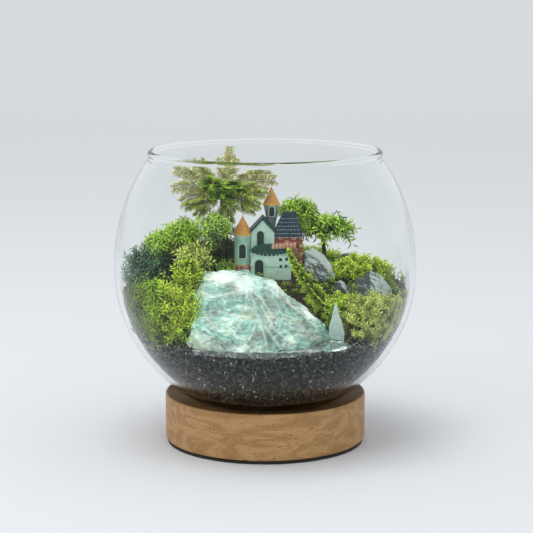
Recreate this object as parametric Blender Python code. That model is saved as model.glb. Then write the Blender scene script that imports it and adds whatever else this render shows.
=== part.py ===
"""A glass bowl terrarium on a turned wooden lamp base.

Everything is in metres, +Z up. The origin is on the table under the middle of the base, and the
front of the bowl faces -Y. Lengths are written in millimetres and multiplied by MM.
"""

import math

import bmesh
import bpy
from mathutils import Matrix, Vector

MM = 0.001

# Driving dimensions, in millimetres.
FIT_GAP = 0.3
FOOT_PAD_THICKNESS = 1.2
WOOD_RADIUS = 50.0
WOOD_HEIGHT = 23.3
WOOD_EDGE_ROUND = 0.8
SEAT_DEPTH = 4.3
POCKET_RADIUS = 36.0
POCKET_HEIGHT = 11.5
WINDOW_RADIUS = 16.0
PLATE_RADIUS = 43.0
PLATE_THICKNESS = 1.7
BOWL_RADIUS = 74.8
BOWL_CENTRE_ABOVE_WOOD = 62.7
BOWL_UPPER_HEIGHT = 85.0
BOWL_FOOT_ROUND = 25.0
WALL = 2.3
BOWL_FLOOR_THICKNESS = 4.3
MOUTH_RADIUS = 56.2
LIP_ROUND = 1.5
RIM_HEIGHT = 145.7
BOWL_SEGMENTS = 48
GRAVEL_HEIGHT = 56.6
GARDEN_HEIGHT = 81.5
GUIDE_RADIUS = 10.0
GUIDE_CENTRE = (-5.0, -21.0)
BOARD_THICKNESS = 1.6
SOCKET_TALL = 3.3
SCREW_CIRCLE = 39.6
SCREW_ANGLES = (30.0, 150.0, 270.0)

# Heights that follow from them.
WOOD_BOTTOM = FOOT_PAD_THICKNESS + FIT_GAP
WOOD_TOP = WOOD_BOTTOM + WOOD_HEIGHT
SEAT = WOOD_TOP - SEAT_DEPTH
POCKET_TOP = WOOD_BOTTOM + POCKET_HEIGHT
BOWL_BOTTOM = SEAT + FIT_GAP
BOWL_CENTRE = WOOD_TOP + BOWL_CENTRE_ABOVE_WOOD
BOWL_FLOOR = BOWL_BOTTOM + BOWL_FLOOR_THICKNESS
ROOM_RADIUS = BOWL_RADIUS - WALL - FIT_GAP
BOARD_HIGH = POCKET_TOP - FIT_GAP
BOARD_LOW = BOARD_HIGH - BOARD_THICKNESS
SOCKET_LOW = BOARD_LOW - FIT_GAP - SOCKET_TALL
SCREW_PLACES = [(SCREW_CIRCLE * math.cos(math.radians(angle)), SCREW_CIRCLE * math.sin(math.radians(angle)))
                for angle in SCREW_ANGLES]

# The parts' looks: colour, roughness, metallic.
LOOKS = {
    "beech": ((0.52, 0.33, 0.17), 0.55, 0.0),
    "clear_glass": ((0.9, 0.97, 0.95), 0.03, 0.0),
    "frosted_plastic": ((0.9, 0.92, 0.9), 0.5, 0.0),
    "circuit_board": ((0.85, 0.86, 0.84), 0.4, 0.0),
    "steel": ((0.6, 0.6, 0.6), 0.3, 1.0),
    "black_plastic": ((0.03, 0.03, 0.03), 0.5, 0.0),
    "black_rubber": ((0.02, 0.02, 0.02), 0.8, 0.0),
    "dark_gravel": ((0.05, 0.05, 0.055), 0.7, 0.0),
    "soil": ((0.07, 0.045, 0.03), 0.95, 0.0),
    "pearl_resin": ((0.6, 0.85, 0.75), 0.2, 0.0),
    "clear_resin": ((0.75, 0.85, 0.82), 0.08, 0.0),
    "painted_resin": ((0.5, 0.66, 0.54), 0.6, 0.0),
    "grey_stone": ((0.33, 0.38, 0.36), 0.6, 0.0),
    "green_glass": ((0.6, 0.78, 0.7), 0.1, 0.0),
    "moss_stem": ((0.12, 0.08, 0.03), 0.8, 0.0),
    "tree_moss": ((0.25, 0.4, 0.06), 0.7, 0.0),
    "yellow_moss": ((0.6, 0.6, 0.2), 0.7, 0.0),
    "lime_moss": ((0.3, 0.5, 0.04), 0.7, 0.0),
    "dark_moss": ((0.04, 0.1, 0.04), 0.8, 0.0),
}


def remove_everything():
    """Starts from an empty scene."""
    for old in list(bpy.data.objects):
        bpy.data.objects.remove(old)


def look_of(slot):
    """One Principled material for each slot."""
    material = bpy.data.materials.get(slot)
    if material is None:
        colour, roughness, metallic = LOOKS[slot]
        material = bpy.data.materials.new(slot)
        material.use_nodes = True
        shader = material.node_tree.nodes["Principled BSDF"]
        shader.inputs["Base Color"].default_value = (*colour, 1.0)
        shader.inputs["Roughness"].default_value = roughness
        shader.inputs["Metallic"].default_value = metallic
    return material


def add_object(name, build, slot, smooth_angle=40.0):
    """An object from a bmesh in millimetres."""
    mesh = bpy.data.meshes.new(name)
    bmesh.ops.recalc_face_normals(build, faces=build.faces)
    bmesh.ops.scale(build, vec=(MM, MM, MM), verts=build.verts)
    build.to_mesh(mesh)
    build.free()
    mesh.shade_smooth()
    mesh.set_sharp_from_angle(angle=math.radians(smooth_angle))
    made = bpy.data.objects.new(name, mesh)
    if slot:
        mesh.materials.append(look_of(slot))
    bpy.context.scene.collection.objects.link(made)
    return made


def as_cutter(made):
    """Marks a shape as one that only cuts others."""
    made.hide_render = True
    made.display_type = "WIRE"
    return made


def combine(target, operation, *cutters):
    """Adds one exact Boolean modifier for each cutter."""
    for cutter in cutters:
        modifier = target.modifiers.new(cutter.name, "BOOLEAN")
        modifier.operation = operation
        modifier.solver = "EXACT"
        modifier.object = cutter
    return target


def turned(profile, segments=BOWL_SEGMENTS):
    """A solid turned about Z from (radius, height) points, from its axis or in a closed ring."""
    build = bmesh.new()
    rings = []
    for radius, height in profile:
        if radius < 1e-6:
            rings.append([build.verts.new((0.0, 0.0, height))])
            continue
        ring = []
        for step in range(segments):
            angle = 2.0 * math.pi * step / segments
            ring.append(build.verts.new((radius * math.cos(angle), radius * math.sin(angle), height)))
        rings.append(ring)
    closed = len(rings[0]) > 1
    pairs = list(zip(rings, rings[1:]))
    if closed:
        pairs.append((rings[-1], rings[0]))
    for first, second in pairs:
        for step in range(segments):
            after = (step + 1) % segments
            corners = [first[step % len(first)], first[after % len(first)]]
            corners += [second[after % len(second)], second[step % len(second)]]
            unique = list(dict.fromkeys(corners))
            if len(unique) > 2:
                build.faces.new(unique)
    return build


def cylinder(radius, low, high, centre=(0.0, 0.0), segments=32, top_radius=None):
    """An upright cylinder or cone frustum."""
    build = bmesh.new()
    place = Matrix.Translation((centre[0], centre[1], (low + high) / 2.0))
    upper = radius if top_radius is None else top_radius
    bmesh.ops.create_cone(build, cap_ends=True, segments=segments, radius1=radius, radius2=upper,
                          depth=high - low, matrix=place)
    return build


def box(low, high):
    """A box between two corners."""
    build = bmesh.new()
    low = Vector(low)
    high = Vector(high)
    place = Matrix.Translation((low + high) / 2.0) @ Matrix.Diagonal((*(high - low), 1.0))
    bmesh.ops.create_cube(build, size=1.0, matrix=place)
    return build


def hull(points):
    """The convex solid around some points."""
    build = bmesh.new()
    for point in points:
        build.verts.new(point)
    made = bmesh.ops.convex_hull(build, input=build.verts)
    inside = [item for item in made["geom_interior"] if isinstance(item, bmesh.types.BMVert)]
    bmesh.ops.delete(build, geom=inside, context="VERTS")
    return build


def grown(points, amount):
    """Points moved away from their middle, for the cutter of a piece."""
    middle = sum((Vector(point) for point in points), Vector()) / len(points)
    return [middle + (Vector(point) - middle) * (1.0 + amount / (Vector(point) - middle).length)
            for point in points]


def smooth_step(low, high, value):
    part = min(1.0, max(0.0, (value - low) / (high - low)))
    return part * part * (3.0 - 2.0 * part)


def cushion(centre, radii, lumps=0.08, grow=0.0, turn=0.0):
    """A lumpy ball of foliage, with finer faces on a large one."""
    build = bmesh.new()
    fineness = 3 if max(radii) > 8.9 else 2
    bmesh.ops.create_icosphere(build, subdivisions=fineness, radius=1.0)
    spin = Matrix.Rotation(math.radians(turn), 3, "Z")
    for vert in build.verts:
        x, y, z = vert.co
        wave = math.sin(5.0 * x + centre[0]) * math.sin(4.0 * y + centre[1]) * math.cos(5.0 * z)
        stretch = Vector((radii[0] + grow, radii[1] + grow, radii[2] + grow)) * (1.0 + lumps * wave)
        vert.co = spin @ Vector((x * stretch.x, y * stretch.y, z * stretch.z)) + Vector(centre)
    return build


def blade(path, widths, thickness, across=(0.0, 0.0, 1.0), sides=8):
    """A flat leaf shape along a path: `widths` are full widths along it, in the direction `across`."""
    build = bmesh.new()
    points = [Vector(point) for point in path]
    rings = []
    for index, point in enumerate(points):
        before = points[max(0, index - 1)]
        after = points[min(len(points) - 1, index + 1)]
        along = (after - before).normalized()
        normal = along.cross(Vector(across)).normalized()
        wide = normal.cross(along).normalized()
        half = widths[index] / 2.0
        thick = min(half, thickness / 2.0)
        ring = []
        for step in range(sides):
            angle = 2.0 * math.pi * step / sides
            ring.append(build.verts.new(point + wide * (half * math.cos(angle))
                                        + normal * (thick * math.sin(angle))))
        rings.append(ring)
    for first, second in zip(rings, rings[1:]):
        for step in range(sides):
            after = (step + 1) % sides
            build.faces.new((first[step], first[after], second[after], second[step]))
    build.faces.new(rings[0])
    build.faces.new(rings[-1])
    return build


def twig(path, start, end):
    """A round tapering twig along a path."""
    last = len(path) - 1
    widths = [start + (end - start) * index / last for index in range(len(path))]
    return blade(path, widths, 2.0 * start, across=(0.31, 0.87, 0.11), sides=6)


# ---------------------------------------------------------------- the lamp base

def make_wood_base():
    """The turned beech block: a shallow dish on top for the bowl, a lamp pocket below."""
    dish_edge = WOOD_RADIUS - WOOD_EDGE_ROUND
    profile = [(WINDOW_RADIUS, POCKET_TOP), (WINDOW_RADIUS, SEAT - 2.0),
               (WINDOW_RADIUS + 4.0, SEAT - 2.0), (WINDOW_RADIUS + 4.0, SEAT), (33.0, SEAT)]
    for step in range(1, 6):
        part = step / 6.0
        profile.append((33.0 + (dish_edge - 33.0) * part, SEAT + SEAT_DEPTH * part ** 2.2))
    for step in range(4):
        angle = math.radians(90.0 - 30.0 * step)
        profile.append((dish_edge + WOOD_EDGE_ROUND * math.cos(angle),
                        WOOD_TOP - WOOD_EDGE_ROUND * (1.0 - math.sin(angle))))
    profile += [(WOOD_RADIUS, WOOD_BOTTOM + WOOD_EDGE_ROUND),
                (WOOD_RADIUS - WOOD_EDGE_ROUND, WOOD_BOTTOM),
                (PLATE_RADIUS + FIT_GAP, WOOD_BOTTOM),
                (PLATE_RADIUS + FIT_GAP, WOOD_BOTTOM + PLATE_THICKNESS + FIT_GAP),
                (POCKET_RADIUS, WOOD_BOTTOM + PLATE_THICKNESS + FIT_GAP),
                (POCKET_RADIUS, POCKET_TOP)]
    wood = add_object("wood_base", turned(profile), "beech")
    bay = box((-7.3, 30.0, WOOD_BOTTOM + PLATE_THICKNESS), (7.3, 46.3, POCKET_TOP))
    inlet = box((-4.8, 44.0, SOCKET_LOW - FIT_GAP), (4.8, 52.0, SOCKET_LOW + SOCKET_TALL + FIT_GAP))
    combine(wood, "DIFFERENCE", as_cutter(add_object("cut_socket_bay", bay, None)),
            as_cutter(add_object("cut_inlet_slot", inlet, None)))
    for number, place in enumerate(SCREW_PLACES, 1):
        pilot = cylinder(1.3, 0.0, WOOD_BOTTOM + 8.0, place, 12)
        combine(wood, "DIFFERENCE", as_cutter(add_object(f"cut_pilot_{number}", pilot, None)))


def make_light_diffuser():
    """The frosted disc that closes the lamp window, let into the seat."""
    disc = cylinder(WINDOW_RADIUS + 3.7, SEAT - 1.7, SEAT, segments=BOWL_SEGMENTS)
    add_object("light_diffuser", disc, "frosted_plastic")


def make_led_board():
    """The round circuit board against the pocket's ceiling, with its light chips in the window."""
    board = add_object("led_board", cylinder(34.0, BOARD_LOW, BOARD_HIGH, segments=36), "circuit_board")
    tongue = box((-6.8, 20.0, BOARD_LOW), (6.8, 45.8, BOARD_HIGH))
    parts = [as_cutter(add_object("join_board_tongue", tongue, None))]
    for number in range(6):
        angle = math.radians(60.0 * number)
        x = 10.0 * math.cos(angle)
        y = 10.0 * math.sin(angle)
        chip = box((x - 2.5, y - 2.5, BOARD_LOW + 0.5), (x + 2.5, y + 2.5, BOARD_HIGH + 1.2))
        parts.append(as_cutter(add_object(f"join_chip_{number}", chip, None)))
    combine(board, "UNION", *parts)


def make_power_socket():
    """The small metal power inlet under the board's tongue, open to the back."""
    low = SOCKET_LOW
    high = SOCKET_LOW + SOCKET_TALL
    shell = add_object("power_socket", box((-4.5, 39.0, low), (4.5, 48.6, high)), "steel")
    mouth = box((-4.1, 41.0, low + 0.4), (4.1, 49.5, high - 0.4))
    tongue = box((-3.2, 40.0, low + 1.3), (3.2, 47.6, high - 1.3))
    combine(shell, "DIFFERENCE", as_cutter(add_object("cut_socket_mouth", mouth, None)))
    combine(shell, "UNION", as_cutter(add_object("join_socket_tongue", tongue, None)))


def make_bottom_plate():
    """The black plate that closes the pocket, with countersunk screw holes."""
    plate = cylinder(PLATE_RADIUS, WOOD_BOTTOM, WOOD_BOTTOM + PLATE_THICKNESS, segments=BOWL_SEGMENTS)
    plate = add_object("bottom_plate", plate, "black_plastic")
    for number, place in enumerate(SCREW_PLACES, 1):
        hole = cylinder(2.9, WOOD_BOTTOM - 0.5, WOOD_BOTTOM + PLATE_THICKNESS + 0.5, place, 24, 1.2)
        combine(plate, "DIFFERENCE", as_cutter(add_object(f"cut_screw_seat_{number}", hole, None)))
        head = cylinder(2.3, WOOD_BOTTOM, WOOD_BOTTOM + PLATE_THICKNESS, place, 24, 0.95)
        screw = add_object(f"plate_screw_{number}", head, "steel")
        shank = cylinder(0.95, WOOD_BOTTOM + 1.0, WOOD_BOTTOM + 7.5, place, 12, 0.7)
        combine(screw, "UNION", as_cutter(add_object(f"join_shank_{number}", shank, None)))


def make_foot_pad():
    """The black rubber disc the base stands on."""
    pad = cylinder(WOOD_RADIUS - 1.0, 0.0, FOOT_PAD_THICKNESS, segments=BOWL_SEGMENTS)
    add_object("foot_pad", pad, "black_rubber")


# ---------------------------------------------------------------- the bowl

def arc(centre, radius, start, end, steps):
    """Points on an arc in the (radius, height) plane, with angles in degrees from the outside."""
    found = []
    for step in range(steps + 1):
        angle = math.radians(start + (end - start) * step / steps)
        found.append((centre[0] + radius * math.cos(angle), centre[1] + radius * math.sin(angle)))
    return found


def bowl_wall(radius, floor, corner, top, neck_radius):
    """One side of the blown wall: flat foot, rounded corner, globe, and the taller upper half."""
    lift = floor + corner
    reach = math.sqrt((radius - corner) ** 2 - (BOWL_CENTRE - lift) ** 2)
    lean = math.degrees(math.atan2(lift - BOWL_CENTRE, reach))
    profile = [(0.0, floor)]
    profile += arc((reach, lift), corner, -90.0, lean, 3)
    profile += arc((0.0, BOWL_CENTRE), radius, lean, 0.0, 6)[1:]
    upper = BOWL_UPPER_HEIGHT * radius / BOWL_RADIUS
    for step in range(1, 7):
        height = (top - BOWL_CENTRE) * step / 6.0
        share = math.sqrt(1.0 - (height / upper) ** 2)
        profile.append((max(radius * share, neck_radius), BOWL_CENTRE + height))
    return profile


def make_glass_bowl():
    """One blown glass body with a fire-polished lip, as two solids that meet at its widest height."""
    lip = RIM_HEIGHT - LIP_ROUND
    outer = bowl_wall(BOWL_RADIUS, BOWL_BOTTOM, BOWL_FOOT_ROUND, lip - 2.0, MOUTH_RADIUS + 0.4)
    inner = bowl_wall(BOWL_RADIUS - WALL, BOWL_FLOOR, BOWL_FOOT_ROUND - 4.0, lip - 2.0,
                      MOUTH_RADIUS - LIP_ROUND)
    bead = arc((MOUTH_RADIUS, lip), LIP_ROUND, -30.0, 210.0, 6)
    lower = [[point for point in side if point[1] < BOWL_CENTRE + 0.01] for side in (outer, inner)]
    upper = [[point for point in side if point[1] > BOWL_CENTRE - 0.01] for side in (outer, inner)]
    add_object("glass_bowl", turned(lower[0] + lower[1][::-1]), "clear_glass", 60.0)
    add_object("glass_bowl_upper", turned(upper[0] + bead + upper[1][::-1]), "clear_glass", 60.0)


def make_room():
    """The cutter that keeps everything planted just inside the glass."""
    inner = bowl_wall(ROOM_RADIUS, BOWL_FLOOR + FIT_GAP, BOWL_FOOT_ROUND - 4.0 - FIT_GAP,
                      RIM_HEIGHT - 2.0, MOUTH_RADIUS - 2.0 * LIP_ROUND)
    inner += [(MOUTH_RADIUS - 2.0 * LIP_ROUND, RIM_HEIGHT + 20.0), (0.0, RIM_HEIGHT + 20.0)]
    return as_cutter(add_object("cut_room", turned(inner), None))


# ---------------------------------------------------------------- the ground

def gravel_level(x, y):
    """Height of the gravel, a little higher at the sides and the back."""
    return GRAVEL_HEIGHT + 0.0006 * x * x + 0.4 * math.sin(x * 0.21) * math.cos(y * 0.17)


def soil_level(x, y):
    """Height of the planted soil: a bank that rises to a terrace behind the resin hill."""
    bank = smooth_step(-45.0, 0.0, y)
    mound = 4.0 * math.exp(-((x + 23.0) ** 2 + (y - 14.0) ** 2) / 300.0)
    edge = 5.0 * smooth_step(48.0, 74.0, math.hypot(x, y)) * bank
    start = GRAVEL_HEIGHT - 3.5
    return start + (GARDEN_HEIGHT - start) * bank + mound - edge


def height_block(level, rise, bottom):
    """A round block under a height function, wider than the bowl."""
    build = bmesh.new()
    radii = [12.0, 24.0, 36.0, 46.0, 56.0, 64.0, 78.0]
    segments = 32
    middle = build.verts.new((0.0, 0.0, level(0.0, 0.0) + rise))
    rings = []
    for radius in radii:
        ring = []
        for step in range(segments):
            angle = 2.0 * math.pi * step / segments
            x = radius * math.cos(angle)
            y = radius * math.sin(angle)
            ring.append(build.verts.new((x, y, level(x, y) + rise)))
        rings.append(ring)
    rings.append([build.verts.new((vert.co.x, vert.co.y, bottom)) for vert in rings[-1]])
    for step in range(segments):
        build.faces.new((middle, rings[0][step], rings[0][(step + 1) % segments]))
    for first, second in zip(rings, rings[1:]):
        for step in range(segments):
            after = (step + 1) % segments
            build.faces.new((first[step], second[step], second[after], first[after]))
    build.faces.new(rings[-1])
    bmesh.ops.triangulate(build, faces=build.faces)
    return build


def make_ground(room):
    """The dark gravel over the whole floor, and the soil bank on it. Returns their shared cutter."""
    gravel_top = as_cutter(add_object("cut_gravel", height_block(gravel_level, FIT_GAP, 10.0), None))
    soil_top = as_cutter(add_object("cut_soil", height_block(soil_level, FIT_GAP, 10.0), None))
    guide = cylinder(GUIDE_RADIUS + FIT_GAP, 10.0, 100.0, GUIDE_CENTRE, 32)
    guide = as_cutter(add_object("cut_light_guide", guide, None))
    gravel = add_object("gravel_bed", height_block(gravel_level, 0.0, 10.0), "dark_gravel")
    combine(gravel, "INTERSECT", room)
    combine(gravel, "DIFFERENCE", guide)
    soil = add_object("soil_bank", height_block(soil_level, 0.0, 10.0), "soil")
    combine(soil, "INTERSECT", room)
    combine(soil, "DIFFERENCE", gravel_top, guide)
    return [gravel_top, soil_top]


# ---------------------------------------------------------------- the resin

def hill_level(x, y):
    """Height of the cast resin hill: a long crest with a broad front slope and a sharp back."""
    crest = 88.3 - 24.0 * (max(0.0, x + 8.0) / 37.0) ** 1.45
    crest -= 30.0 * (max(0.0, -31.0 - x) / 7.0) ** 1.5
    crest_line = -15.0 - 0.5 * max(0.0, x + 8.0)
    foot_line = -64.5 + 0.009 * (x + 8.0) ** 2
    foot = GRAVEL_HEIGHT - 3.0
    if y > crest_line:
        return crest - 14.0 * ((y - crest_line) / 9.0) ** 1.5
    part = min(1.3, (crest_line - y) / max(6.0, crest_line - foot_line))
    folds = 0.9 * math.sin(0.35 * x + 0.12 * y) * math.sin(math.pi * min(1.0, part))
    return foot + (crest - foot) * (1.0 - part ** 1.6) + folds


def hill_block(rise):
    """The hill's surface over a rectangle, closed below."""
    build = bmesh.new()
    across = 19
    deep = 15
    rows = []
    for row in range(deep + 1):
        y = -68.0 + 66.0 * row / deep
        rows.append([])
        for column in range(across + 1):
            x = -42.0 + 78.0 * column / across
            top = max(44.0, hill_level(x, y) + rise)
            rows[-1].append(build.verts.new((x, y, top)))
    for low, high in zip(rows, rows[1:]):
        for column in range(across):
            corners = (low[column], low[column + 1], high[column + 1], high[column])
            build.faces.new(corners)
    rim = [edge for edge in build.edges if edge.is_boundary]
    skirt = bmesh.ops.extrude_edge_only(build, edges=rim)["geom"]
    lower = [item for item in skirt if isinstance(item, bmesh.types.BMVert)]
    for vert in lower:
        vert.co.z = 40.0
    bottom = [item for item in skirt if isinstance(item, bmesh.types.BMEdge) and item.is_boundary]
    bmesh.ops.edgeloop_fill(build, edges=bottom)
    bmesh.ops.triangulate(build, faces=build.faces)
    return build


def make_resin(room, ground):
    """The glowing cast hill with its light guide, and the clear pool beside it."""
    hill = add_object("resin_hill", hill_block(0.0), "pearl_resin")
    combine(hill, "INTERSECT", room)
    combine(hill, "DIFFERENCE", *ground)
    guide = cylinder(GUIDE_RADIUS, BOWL_FLOOR + FIT_GAP, 76.0, GUIDE_CENTRE, 32)
    combine(hill, "UNION", as_cutter(add_object("join_light_guide", guide, None)))
    hill_cutter = as_cutter(add_object("cut_hill", hill_block(0.5), None))
    pool = add_object("resin_pool", cushion((27.0, -46.5, 58.0), (15.0, 10.0, 3.4), 0.02, turn=-35.0),
                      "clear_resin")
    combine(pool, "INTERSECT", room)
    combine(pool, "DIFFERENCE", *ground, hill_cutter)
    return hill_cutter


# ---------------------------------------------------------------- the stones

STONES = {
    "leaning_slab": [(19.4, 6.0, 94.8), (24.3, 6.5, 96.0), (29.2, 4.5, 93.0), (33.0, 1.0, 88.5),
                     (34.8, -2.0, 83.6), (34.6, -7.0, 74.0), (20.5, -8.0, 76.0), (19.0, -1.0, 88.0),
                     (27.0, -10.0, 74.0), (23.0, 10.5, 78.0), (32.0, 6.5, 78.0)],
    "ridge_stone": [(39.5, -13.0, 78.6), (45.0, -10.5, 83.0), (51.5, -8.0, 86.9), (57.2, -8.0, 84.6),
                    (62.5, -8.5, 77.4), (42.0, -23.5, 65.0), (51.0, -25.5, 64.0), (59.5, -21.5, 66.0),
                    (43.0, 3.0, 74.0), (60.0, 2.0, 76.0), (52.0, -1.0, 84.0)],
    "glass_shard": [(33.4, -37.6, 77.0), (36.0, -37.5, 70.0), (37.8, -42.5, 63.0), (36.5, -45.0, 56.0),
                    (31.0, -45.5, 56.0), (30.0, -43.5, 66.0), (33.6, -35.4, 76.0), (37.0, -39.5, 56.0),
                    (31.0, -40.5, 58.0)],
}


def make_stones(ground, hill_cutter):
    """The stones set in the bank and the clear green shard at the water's edge."""
    slots = {"leaning_slab": "grey_stone", "ridge_stone": "grey_stone", "glass_shard": "green_glass"}
    cutters = {}
    for name, points in STONES.items():
        stone = add_object(name, hull(points), slots[name], 20.0)
        combine(stone, "DIFFERENCE", *ground, hill_cutter)
        cutters[name] = as_cutter(add_object(f"cut_{name}", hull(grown(points, 0.6)), None))
    combine(bpy.data.objects["ridge_stone"], "DIFFERENCE", cutters["leaning_slab"])
    combine(bpy.data.objects["resin_pool"], "DIFFERENCE", cutters["glass_shard"])
    pebble = add_object("pebble", cushion((36.6, -14.5, 77.2), (3.8, 3.6, 6.0), 0.05), "grey_stone")
    combine(pebble, "DIFFERENCE", *ground, cutters["leaning_slab"], cutters["ridge_stone"])
    back = add_object("back_stone", cushion((42.0, 22.0, 84.0), (5.5, 5.0, 7.0), 0.05), "grey_stone")
    combine(back, "DIFFERENCE", *ground)
    cutters["pebble"] = as_cutter(add_object(
        "cut_pebble", cushion((36.6, -14.5, 77.2), (3.8, 3.6, 6.0), 0.05, 0.5), None))
    cutters["back_stone"] = as_cutter(add_object(
        "cut_back_stone", cushion((42.0, 22.0, 84.0), (5.5, 5.0, 7.0), 0.05, 0.5), None))
    return cutters


# ---------------------------------------------------------------- the little castle

def gabled(low, high, rise):
    """A box with a ridge along Y on top."""
    middle = (low[0] + high[0]) / 2.0
    points = [(x, y, z) for x in (low[0], high[0]) for y in (low[1], high[1]) for z in (low[2], high[2])]
    points += [(middle, low[1], high[2] + rise), (middle, high[1], high[2] + rise)]
    return hull(points)


def make_castle(ground, hill_cutter):
    """One painted casting: two pointed towers, a gabled keep, a low front house and a tiled wing."""
    body = add_object("castle", gabled((-7.0, 2.5, 76.0), (4.5, 15.0, 105.0), 6.3), "painted_resin", 20.0)
    rooms = {
        "left_tower": cylinder(4.2, 76.0, 103.4, (-11.2, 4.5), 20),
        "left_roof": cylinder(5.1, 103.2, 112.4, (-11.2, 4.5), 20, 0.3),
        "rear_turret": cylinder(1.6, 103.5, 117.1, (3.1, 14.0), 20, 4.0),
        "rear_shaft": cylinder(1.5, 76.0, 104.0, (3.1, 14.0), 20),
        "rear_roof": cylinder(4.4, 116.9, 125.8, (3.1, 14.0), 20, 0.3),
        "front_house": box((-7.2, -2.0, 75.5), (13.0, 6.0, 94.2)),
        "front_awning": hull([(-6.6, -2.6, 94.0), (10.8, -2.6, 94.0), (-6.6, 6.0, 94.0), (10.8, 6.0, 94.0),
                              (-5.0, 1.5, 98.8), (9.0, 1.5, 98.8), (-5.0, 6.0, 98.8), (9.0, 6.0, 98.8)]),
        "right_wing": box((4.0, 4.2, 76.0), (16.6, 17.0, 102.2)),
        "right_roof": hull([(3.6, 3.2, 101.8), (18.4, 3.2, 101.8), (3.6, 18.0, 101.8), (18.4, 18.0, 101.8),
                            (8.6, 10.0, 113.1), (15.6, 10.0, 113.1)]),
        "corner_post": box((15.8, 4.0, 76.0), (18.6, 8.0, 102.0)),
    }
    joined = [as_cutter(add_object(f"join_{name}", shape, None)) for name, shape in rooms.items()]
    combine(body, "UNION", *joined)
    combine(body, "DIFFERENCE", *ground, hill_cutter)
    around = hull([(-16.2, -3.2, 70.0), (19.4, -3.2, 70.0), (-16.2, 19.0, 70.0), (19.4, 19.0, 70.0),
                   (-16.2, -3.2, 104.0), (19.4, -3.2, 104.0), (-16.2, 19.0, 104.0), (19.4, 19.0, 104.0)])
    return as_cutter(add_object("cut_castle", around, None))


# ---------------------------------------------------------------- the plants

def between(start, end, sag, steps=5):
    """A path from start to end that arches by `sag`."""
    start = Vector(start)
    end = Vector(end)
    found = []
    for step in range(steps + 1):
        part = step / steps
        point = start.lerp(end, part)
        point.z += sag * 4.0 * part * (1.0 - part)
        found.append(point)
    return found


LEAF_SHAPE = (0.25, 0.8, 1.0, 0.85, 0.55, 0.12)

TREE_FRONDS = {
    "left": ((-27.6, 9.4, 125.6), (-46.5, 2.0, 131.0), 1.5, 13.5),
    "low_left": ((-27.2, 7.6, 119.0), (-40.5, 4.0, 116.8), 1.0, 5.0),
    "right": ((-14.6, 13.6, 126.0), (6.2, 16.0, 131.2), 2.0, 7.5),
    "low_right": ((-14.4, 9.4, 121.0), (0.6, 4.0, 120.0), 1.5, 9.0),
    "front": ((-21.0, 7.4, 124.6), (-21.5, -1.5, 130.5), 1.5, 15.0),
    "hanging": ((-18.6, 7.6, 118.2), (-17.5, 5.5, 109.5), 0.0, 3.0),
    "crown": ((-20.2, 14.0, 129.0), (-17.4, 20.0, 145.2), 0.0, 8.0),
    "rear": ((-26.0, 16.5, 127.0), (-38.3, 17.5, 141.2), -1.5, 6.0),
}
TREE_TOP = Vector((-21.6, 12.0, 121.0))


def make_tall_tree_moss(ground):
    """The tall tree-shaped moss: a dark stem that forks at the top, and one frond on each fork."""
    trunk = twig([(-23.3, 14.0, 80.0), (-23.6, 13.4, 96.0), (-22.6, 12.5, 108.0), TREE_TOP], 2.0, 1.7)
    stem = add_object("tree_moss_stem", trunk, "moss_stem")
    forks = []
    for name, (root, tip, sag, width) in TREE_FRONDS.items():
        toward = (Vector(root) - TREE_TOP)
        end = TREE_TOP + toward * (1.0 - 0.5 / toward.length)
        fork = twig([TREE_TOP - toward * 0.1 - Vector((0.0, 0.0, 0.6)), TREE_TOP + toward * 0.4, end], 1.5, 1.0)
        forks.append(as_cutter(add_object(f"join_fork_{name}", fork, None)))
        widths = [width * share for share in LEAF_SHAPE]
        across = (1.0, 0.0, 0.0) if name in ("front", "crown", "hanging") else (0.0, 0.0, 1.0)
        frond = blade(between(root, tip, sag), widths, 2.2, across)
        slot = "yellow_moss" if name in ("left", "crown", "right") else "tree_moss"
        add_object(f"tree_moss_frond_{name}", frond, slot)
    second = twig([(-20.0, 15.0, 80.0), (-19.4, 14.4, 100.0), (-21.3, 12.6, 116.0)], 1.3, 1.0)
    forks.append(as_cutter(add_object("join_second_stem", second, None)))
    combine(stem, "UNION", *forks)
    combine(stem, "DIFFERENCE", *ground)


def make_rear_tree_moss(ground):
    """The smaller tree-shaped moss behind the tiled wing and its palm-like neighbour."""
    stem = twig([(30.6, 24.0, 80.0), (30.0, 24.0, 92.0), (28.9, 24.0, 99.0)], 2.6, 1.8)
    stem = add_object("small_tree_moss_stem", stem, "moss_stem")
    combine(stem, "DIFFERENCE", *ground)
    crown = add_object("small_tree_moss_crown", cushion((30.2, 23.6, 104.9), (11.5, 8.5, 5.0), 0.1),
                       "tree_moss")
    stem = twig([(18.0, 29.0, 80.0), (18.4, 28.6, 92.0), (18.0, 28.0, 103.4)], 2.4, 1.6)
    stem = add_object("back_bush_stem", stem, "moss_stem")
    combine(stem, "DIFFERENCE", *ground)
    add_object("back_bush_crown", cushion((16.6, 29.0, 110.4), (8.2, 6.6, 6.4), 0.1), "tree_moss")
    kept = as_cutter(add_object("cut_back_bush", cushion((16.6, 29.0, 110.4), (8.2, 6.6, 6.4), 0.1, 0.5),
                                None))
    combine(crown, "DIFFERENCE", kept)


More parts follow.
